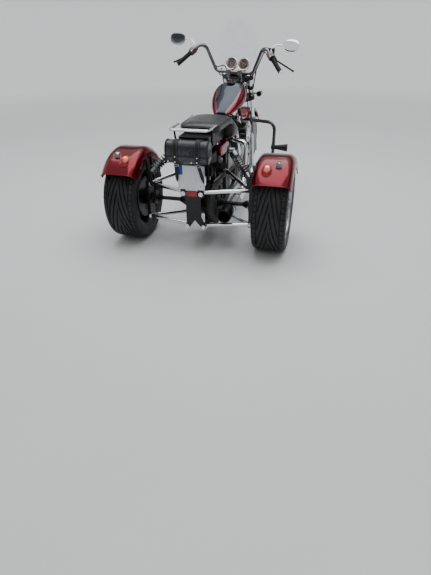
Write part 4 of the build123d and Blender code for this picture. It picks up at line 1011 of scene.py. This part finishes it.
def filler_cap():
    low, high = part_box("tank_cap")
    o = Vector((0, (low.y + high.y) / 2 - DATUM_Y, (low.z + high.z) / 2))
    lean = radians(14)
    a = Vector((0, -sin(lean), cos(lean)))
    rim = [
        (0.036, -0.012), (0.0362, 0.005), (0.0345, 0.008), (0.032, 0.0075), (0.031, 0.003), (0.031, -0.012),
    ]
    cap = Piece().add(revolve(rim, o, a, 48, loop=True))
    cap.add(revolve([(0.0312, 0.002), (0.012, 0.0028), (0.0, 0.003), (0.0, -0.01)], o, a, 36), 1)
    cap.add(revolve([(0.0075, 0.0025), (0.007, 0.006), (0.0, 0.0065)], o, a, 20))
    cap.make("filler_cap", ["black_gloss", "black_satin"], "chrome", ["tank_cap"])


# Gauges. A dial's marks run from DIAL_START over DIAL_SWEEP degrees
GAUGE_TILT = radians(25)
GAUGE_AXIS = Vector((0, -cos(GAUGE_TILT), sin(GAUGE_TILT)))
DIAL_START = -225
DIAL_SWEEP = 270


def dial_point(o, deg, radius, lift):
    a, side, up = basis(GAUGE_AXIS)
    t = radians(deg)
    return o + a * lift + (side * sin(t) + up * cos(t)) * radius


def dial_marks(dial, o):
    """Orange and white arcs, hub ring, scale marks and needle."""
    arcs = (
        (0.0365, 0.0035, DIAL_START, DIAL_SWEEP, 3),
        (0.0395, 0.0008, DIAL_START, DIAL_SWEEP, 2),
        (0.012, 0.0008, 0, 360, 2),
    )
    for r, wide, first, sweep, tone in arcs:
        angles = line(first, first + sweep, 40)
        band = [[dial_point(o, deg, r + d, -0.0049) for d in (-wide, wide)] for deg in angles]
        dial.add(loft(band, closed=False), tone)
    for i in range(31):
        deg = DIAL_START + DIAL_SWEEP / 30 * i
        long, thick = (0.007, 0.0011) if i % 5 == 0 else (0.004, 0.0006)
        mark = [dial_point(o, deg, 0.0315 - long, -0.0048), dial_point(o, deg, 0.0315, -0.0048)]
        dial.add(pipe(mark, thick, 4), 2)
    needle = [dial_point(o, DIAL_START + 10, r, -0.004) for r in (-0.006, 0.027)]
    dial.add(pipe(needle, [0.0012, 0.0005], 4), 3)


def gauge(side):
    o = HEAD + Vector((SIDES[side] * 0.051, 0.024, 0.121))
    dial = Piece()
    cup = [(0.0, -0.04), (0.03, -0.04), (0.041, -0.03), (0.044, -0.008), (0.0445, -0.006), (0.0, -0.006)]
    dial.add(revolve(cup, o, GAUGE_AXIS, 56), 1)
    bezel = [
        (0.044, -0.0075), (0.0475, -0.006), (0.048, 0.0), (0.0455, 0.0025), (0.0425, 0.001), (0.0415, -0.006),
    ]
    dial.add(revolve(bezel, o, GAUGE_AXIS, 56, loop=True))
    dial.add(revolve([(0.0405, -0.0055), (0.0, -0.0055)], o, GAUGE_AXIS, 48), 1)
    dial_marks(dial, o)
    dial.add(revolve([(0.004, -0.0055), (0.004, -0.003), (0.0, -0.0028)], o, GAUGE_AXIS, 16), 1)
    mats = ["chrome", "dial_black", "white_mark", "orange_mark"]
    dial.make(f"gauge_{side}", mats, "chrome", left_only(side, "gauges"), "steering")
    glass_disc = Piece().add(revolve([(0.0, 0.0018), (0.03, 0.0012), (0.0425, 0.0)], o, GAUGE_AXIS, 40))
    glass_disc.make(f"gauge_glass_{side}", ["gauge_glass"], "chrome", body="steering")


def gauge_stand():
    """Legs and cross bar below the gauges, with four warning lamps."""
    y, z = HEAD.y, HEAD.z
    stand = Piece().both(block((0.037, 0.065), (y + 0.026, y + 0.05), (z + 0.034, z + 0.1)))
    stand.add(block((-0.06, 0.06), (y + 0.03, y + 0.054), (z + 0.033, z + 0.057)))
    for i in range(4):
        at = (-0.024 + 0.016 * i, y + 0.03, z + 0.046)
        stand.add(revolve(dome(0.0045, 0.002, 3), at, BACK, 12), 1)
    stand.make("gauge_stand", ["black_satin", "amber_lens"], "black_satin", body="steering", bevel=0.002)


def headlamp_lens():
    """Fluted headlamp lens with its chrome ring and bulb shield."""
    o = HEAD + Vector((0, 0.323, -0.042))
    lamp = Piece()
    ring = [
        (0.0655, 0.0), (0.067, 0.006), (0.071, 0.0075), (0.0755, 0.004), (0.0765, -0.008), (0.0755, -0.02),
        (0.0655, -0.02),
    ]
    lamp.add(revolve(ring, o, FORWARD, 64, loop=True))
    lamp.add(revolve([(0.066, 0.001), (0.05, 0.007), (0.03, 0.0105), (0.0, 0.012)], o, FORWARD, 56), 1)
    lamp.add(revolve([(0.017, 0.0095), (0.016, 0.0135), (0.0, 0.0155)], o, FORWARD, 32))
    for i in range(7):
        x = -0.048 + 0.016 * i
        high = sqrt(0.061 ** 2 - x * x)
        flute = []
        for z in line(-high, high, 10):
            flute.append(o + Vector((x, 0.002 + 0.0095 * (1 - (x * x + z * z) / 0.066 ** 2), z)))
        lamp.add(pipe(flute, 0.0011, 6), 1)
    lamp.make("headlamp_lens", ["chrome", "head_lens"], "chrome", body="steering", angle=40)


# Handlebar ends and mirrors
def grip_line(k, d):
    """Point on a grip's centre line, a distance inboard of its end."""
    end = Vector((k * 0.409, -0.237, 0.106))
    rise = Vector((k * 0.238, -0.113, 0.272))
    return HEAD + end + (rise - end).normalized() * d


def mirror_outline(o, lean, k, scale, y):
    """Ring of a mirror head, wider at the top and deeper at the lower outer corner."""
    ring = []
    for a in turns(56):
        across, up = squircle(a, 2.4)
        x = k * 0.061 * (1 + 0.06 * sin(a)) * across * scale
        tall = 0.046 if up > 0 else 0.045 * (1 + 0.1 * cos(a))
        ring.append(o + lean @ Vector((x, y, tall * up * scale)))
    return ring if k > 0 else ring[::-1]


def mirror(side, tilt, turn):
    """Chrome head on a bent stem; the glass faces up by tilt and aside by turn, in degrees."""
    k = SIDES[side]
    o = HEAD + Vector((k * 0.445, -0.132, 0.273))
    lean = Matrix.Rotation(radians(turn), 3, "Z") @ Matrix.Rotation(radians(-tilt), 3, "X")
    shell = (
        (0.3, 0.015), (0.7, 0.0125), (0.9, 0.007), (0.985, 0.0), (1.0, -0.006), (0.985, -0.0098),
        (0.95, -0.0098), (0.94, -0.008),
    )
    pane = ((0.945, -0.0082), (0.9, -0.0088), (0.5, -0.009), (0.05, -0.0091))
    head = Piece()
    for tone, rows in enumerate((shell, pane)):
        head.add(loft([mirror_outline(o, lean, k, scale, y) for scale, y in rows]), tone)
    foot = grip_line(k, 0.155) + Vector((0, 0, 0.02))
    root = grip_line(k, 0.17) + Vector((0, 0.008, 0.036))
    stem = [foot, root, root + Vector((k * 0.03, 0.014, 0.03)), o + Vector((0, 0.008, 0))]
    head.add(pipe(rounded(stem, 0.02), 0.0046, 12))
    head.add(bolt(foot + Vector((0, 0, 0.006)), (0, 0, 1), 0.009, 0.008))
    nodes = left_only(side, "mirrors")
    head.make(f"mirror_{side}", ["chrome", "mirror_glass"], "chrome", nodes, "steering")


def grip_sleeves():
    """Ribbed rubber grips with chrome end caps."""
    ribs = [(0.0, 0.001), (0.0155, 0.001), (0.0168, 0.004)]
    for i in range(24):
        h = 0.008 + i * 0.005
        ribs += [(0.0168, h), (0.0155, h + 0.001), (0.0155, h + 0.0022), (0.0168, h + 0.0032)]
    ribs += [(0.0175, 0.127), (0.0168, 0.13), (0.0, 0.13)]
    cap = [(0.0, -0.004), (0.012, -0.004), (0.0165, -0.001), (0.0165, 0.002), (0.0, 0.002)]
    sleeve = Piece()
    for k in SIDES.values():
        o = grip_line(k, 0.0)
        a = grip_line(k, 0.13) - o
        sleeve.add(revolve(ribs, o, a, 36))
        sleeve.add(revolve(cap, o, a, 36), 1)
    sleeve.make("grip_sleeves", ["black_rubber", "chrome"], "black_rubber", ["grips"], "steering", angle=30)


def switch_trim():
    """Switch housings beside the grips, with seam and buttons."""
    shell = [
        (0.0, 0.132), (0.023, 0.132), (0.0265, 0.136), (0.0265, 0.1535), (0.0255, 0.154), (0.0255, 0.1555),
        (0.0265, 0.156), (0.0265, 0.174), (0.023, 0.179), (0.0, 0.179),
    ]
    trim = Piece()
    for k in SIDES.values():
        o = grip_line(k, 0.0)
        a = (grip_line(k, 0.13) - o).normalized()
        trim.add(revolve(shell, o, a, 40))
        back = Vector(BACK) - a * a.dot(Vector(BACK))
        back.normalize()
        for h, r, tone in ((0.143, 0.0055, 1), (0.166, 0.006, 2), (0.156, 0.0035, 1)):
            trim.add(revolve(dome(r, 0.004, 4), o + a * h + back * 0.0262, back, 16), tone)
    mats = ["black_gloss", "chrome", "orange_mark"]
    trim.make("switch_trim", mats, "black_gloss", body="steering", angle=35)


# Half shafts with bellows
def bellows():
    """Profile of a rubber bellows, from its wide end."""
    fold = [(0.0, 0.0), (0.028, 0.0), (0.028, 0.004)]
    for i in range(4):
        h = 0.004 + i * 0.0062
        big = 0.0275 - 0.0028 * i
        fold += [(big - 0.005, h + 0.0015), (big, h + 0.0045), (big - 0.0045, h + 0.0062)]
    return fold + [(0.016, 0.03), (0.0, 0.03)]


def half_shaft(side):
    k = SIDES[side]
    outer = TRACK - 0.038
    o = Vector((0, AHEAD, AXLE_Z))
    shaft = Piece()
    shaft.add(revolve([(0.0, 0.104), (0.014, 0.104), (0.014, outer), (0.0, outer)], o, (k, 0, 0), 32))
    for x, way in ((0.126, 1), (0.316, -1)):
        fold = [(r, h * way) for r, h in bellows()]
        shaft.add(revolve(fold, o + Vector((k * x, 0, 0)), (k, 0, 0), 36), 1)
    mats = ["black_frame", "black_rubber"]
    shaft.make(f"shaft_{side}", mats, "black_satin", [f"half_shaft_{side}"], f"rear_wheel_{side}")


# Bolts and covers of the chassis, gathered in one piece
MUFFLER_X = 0.19
MUFFLER_Z = 0.23


def pivot_bolts(trim):
    """Washers and bolts on the centre plate, where the wishbones turn."""
    for x in (-0.057, 0.057):
        for y, z in ((-0.1885, 0.412), (-0.1385, 0.17)):
            trim.add(revolve([(0.0145, 0.0), (0.0145, 0.002), (0.0, 0.002)], (x, y, z), BACK, 24))
            trim.add(bolt((x, y - 0.002, z), BACK, 0.0115, 0.008))


def shield_arc(y, radius):
    return [(MUFFLER_X + radius * cos(t), y, MUFFLER_Z + radius * sin(t)) for t in line(-0.1, 2.6, 24)]


def muffler_shield(trim):
    """Heat shield with dark slots and a rod at each end, and the muffler's black tip."""
    for i in range(9):
        for j in range(5):
            a = radians(20 + 27 * j)
            out = Vector((cos(a), 0, sin(a)))
            at = Vector((MUFFLER_X, 0.085 + 0.0205 * i, MUFFLER_Z)) + out * 0.0402
            trim.add(revolve([(0.0062, 0.0), (0.0062, 0.0006), (0.0, 0.0006)], at, out, 10, stretch=0.5), 1)
    shield = ((0.065, 0.038), (0.067, 0.0402), (0.265, 0.0402), (0.267, 0.038))
    trim.add(loft([shield_arc(y, radius) for y, radius in shield], closed=False), 2)
    for y in (0.075, 0.255):
        trim.add(pipe(shield_arc(y, 0.0408), 0.0018, 6))
    tip = [
        (0.03, -0.0125), (0.0445, -0.0115), (0.0452, -0.006), (0.0452, 0.108), (0.042, 0.113),
        (0.0372, 0.11), (0.0372, 0.02), (0.0, 0.02),
    ]
    trim.add(revolve(tip, (MUFFLER_X, 0.0, 0.248), BACK, 48), 1)


def air_cleaner_cover(trim):
    """Chrome rim and boss on a black disc, held by three bolts."""
    o = Vector((0.158, 0.87, 0.59))
    rim = [(0.078, -0.006), (0.0785, 0.0), (0.074, 0.0035), (0.064, 0.0035), (0.062, 0.0)]
    trim.add(revolve(rim, o, RIGHT, 64, loop=True))
    trim.add(revolve([(0.062, 0.0005), (0.05, 0.001), (0.0, 0.0012)], o, RIGHT, 48), 1)
    trim.add(revolve([(0.036, 0.001), (0.034, 0.004), (0.0, 0.0055)], o, RIGHT, 48))
    for a in turns(3):
        trim.add(bolt(o + Vector((0.001, 0.048 * sin(a), 0.048 * cos(a))), RIGHT))


def engine_bolts(trim):
    """Nine bolts round each side cover of the engine."""
    for a in turns(9):
        trim.add(bolt((-0.146, 0.805 + 0.17 * cos(a), 0.314 + 0.07 * sin(a)), (-1, 0, 0)))
        trim.add(bolt((0.125, 0.85 + 0.11 * cos(a), 0.32 + 0.066 * sin(a)), RIGHT))


def fastenings():
    trim = Piece()
    pivot_bolts(trim)
    muffler_shield(trim)
    air_cleaner_cover(trim)
    engine_bolts(trim)
    trim.make("fastenings", ["chrome", "black_satin", "engine_silver"], "chrome", angle=35)


def battery_box():
    """Battery and wiring box in the rear frame, with lid, ribs, hold-down strap and leads."""
    box = Piece()
    box.add(block((-0.072, 0.072), (0.035, 0.29), (0.462, 0.592)))
    box.add(block((-0.076, 0.076), (0.03, 0.295), (0.592, 0.612)))
    for i in range(5):
        x = -0.052 + 0.026 * i
        box.add(block((x - 0.004, x + 0.004), (0.031, 0.036), (0.472, 0.58)))
    for i in range(7):
        y = 0.06 + 0.034 * i
        box.both(block((0.071, 0.0745), (y - 0.005, y + 0.005), (0.472, 0.582)))
    strap = [(-0.0775, 0.2, 0.47), (-0.0775, 0.2, 0.6145), (0.0775, 0.2, 0.6145), (0.0775, 0.2, 0.47)]
    box.add(pipe(rounded(strap, 0.008), 0.011, 10, flat=0.14, flat_axis=FORWARD), 1)
    lead = [
        (0.05, 0.06, 0.61), (0.056, 0.02, 0.606), (0.06, 0.008, 0.56), (0.05, 0.02, 0.44), (0.03, 0.08, 0.4),
    ]
    for k in SIDES.values():
        box.add(pipe(rounded([(k * x, y, z) for x, y, z in lead], 0.03), 0.0045, 10), 1)
        box.add(bolt((k * 0.066, 0.03, 0.602), BACK, 0.005, 0.004), 2)
    box.make("battery_box", ["black_satin", "black_rubber", "chrome"], "black_satin", bevel=0.0025)


# All pieces
tyres()
rear_wheel("left")
rear_wheel("right")
rear_fenders()
tail_lamps()
rear_indicators()
seat_pads()
seat_piping()
bag_body()
bag_trim()
tank_shell()
filler_cap()
switch_trim()
grip_sleeves()
half_shaft("left")
half_shaft("right")
fastenings()
battery_box()
gauge("left")
gauge("right")
gauge_stand()
headlamp_lens()
mirror("left", 8, 4)
mirror("right", 23, -6)

# Pieces carried over from the solids, in their slot's material or a brighter or darker chrome; the darker
# one, on the handlebar, shocks and front rim, is a painted dark reflection
CHROMES = {"luggage_rack": "rack_chrome"} | dict.fromkeys(("handlebar", "shocks", "front_rim"), "dark_reflection_chrome")
slots = {part["node"]: part["material_slot"] for part in frame["record"]["subparts"]}
for name, carried in frame["nodes"].items():
    carried.data.materials.clear()
    carried.data.materials.append(MATS[CHROMES.get(name) or slots[name]])
    for face in carried.data.polygons:
        face.material_index = 0


# Stage
def stage_tone():
    """Pale even floor that melts into a pale backdrop and grows dark high above."""
    n = Nodes("floor")
    x, y = n.axis(0), n.axis(1)
    height = n.math("SUBTRACT", n.axis(2), n.span(y, -6.0, 2.0, 0.0, 1.3))
    pale = n.mix(n.noise(2.0, 4.0), (0.66, 0.66, 0.665, 1), (0.7, 0.7, 0.705, 1))
    glow = n.math("MULTIPLY", n.span(n.radius(x, y), 2.5, 9.0, 0.0, 0.42), n.span(y, -8.0, 1.0, 0.3, 1.0))
    return n.finish(n.put("BsdfPrincipled", {
        "Base Color": n.mix(n.span(height, 0.4, 4.5), pale, (0.05, 0.053, 0.057, 1)),
        "Roughness": n.span(n.noise(23.0), 0.3, 0.7, 0.7, 0.85),
        "Normal": n.bump(0.15, 0.001, n.noise(180.0)),
        "Emission Color": (0.93, 0.95, 0.97, 1),
        "Emission Strength": n.math("MULTIPLY", glow, n.span(height, 0.4, 4.5, 1.0, 0.06)),
    }))


def floor():
    """Round dish: a flat floor whose edge curves up into a wall."""
    sweep = [(0.001, 0.0), (3.0, 0.0), (9.0, 0.0)]
    sweep += [(9.0 + 4 * sin(t), 4 - 4 * cos(t)) for t in line(0.1, pi / 2, 12)]
    sweep += [(13.0, 9.0)]
    points, faces = loft([[(r * cos(a), r * sin(a), z) for a in turns(96)] for r, z in sweep], caps=False)
    mesh = bpy.data.meshes.new("floor")
    mesh.from_pydata(points.tolist(), [], faces)
    mesh.materials.append(stage_tone())
    mesh.polygons.foreach_set("use_smooth", [True] * len(mesh.polygons))
    o = bpy.data.objects.new("floor", mesh)
    bpy.context.scene.collection.objects.link(o)


def camera(at, yaw, pitch, roll, focal):
    """The photograph's camera: angles in radians, focal length in millimetres on 36 mm."""
    forward = Vector((-sin(yaw) * cos(pitch), cos(yaw) * cos(pitch), -sin(pitch)))
    level = Vector((cos(yaw), sin(yaw), 0))
    lift = level.cross(forward)
    right = level * cos(roll) + lift * sin(roll)
    above = lift * cos(roll) - level * sin(roll)
    data = bpy.data.cameras.new("camera")
    data.lens = focal
    data.sensor_width = 36.0
    data.clip_start = 0.05
    o = bpy.data.objects.new("camera", data)
    o.matrix_world = Matrix.Translation(at) @ Matrix((right, above, -forward)).transposed().to_4x4()
    bpy.context.scene.collection.objects.link(o)
    bpy.context.scene.camera = o


def light(name, at, aim, size, power, color):
    data = bpy.data.lights.new(name, "AREA")
    data.shape = "RECTANGLE"
    data.size, data.size_y = size
    data.energy = power
    data.color = color
    o = bpy.data.objects.new(name, data)
    o.location = at
    o.rotation_euler = (Vector(aim) - Vector(at)).to_track_quat("-Z", "Y").to_euler()
    bpy.context.scene.collection.objects.link(o)


def sky():
    """Even sky, dark toward the ground, for the reflections in paint and chrome."""
    n = Nodes("world", bpy.data.worlds, "OutputWorld")
    height = n.put("SeparateXYZ", {0: n.coords["Generated"]}).outputs[2]
    ramp = n.put("ValToRGB", {0: height})
    ground, zenith = ramp.color_ramp.elements
    ground.position = 0.0
    ground.color = (0.12, 0.12, 0.12, 1)
    zenith.position = 0.62
    zenith.color = (1.0, 1.0, 1.0, 1)
    bands = ((0.06, (0.06, 0.068, 0.062, 1)), (0.2, (0.13, 0.145, 0.15, 1)), (0.34, (0.62, 0.66, 0.7, 1)))
    for level, tone in bands:
        ramp.color_ramp.elements.new(level).color = tone
    bpy.context.scene.world = n.finish(n.put("Background", {0: ramp.outputs[0], 1: 0.75}))


floor()
camera((0.79986, -2.70018 + DATUM_Y, 1.31838), 0.253275, 0.544759, -0.0070595, 27.0707)
light("sky", (0.2, 0.2, 4.4), (0, 0, 0.4), (4.6, 4.6), 205, (0.95, 0.98, 1.0))
light("back", (1.6, -4.6, 2.6), (0, -0.6, 0.5), (3.2, 1.8), 18, (1.0, 0.99, 0.97))
light("side", (-3.6, -0.4, 1.9), (0, 0, 0.6), (2.4, 2.0), 10, (0.94, 0.97, 1.0))
sky()
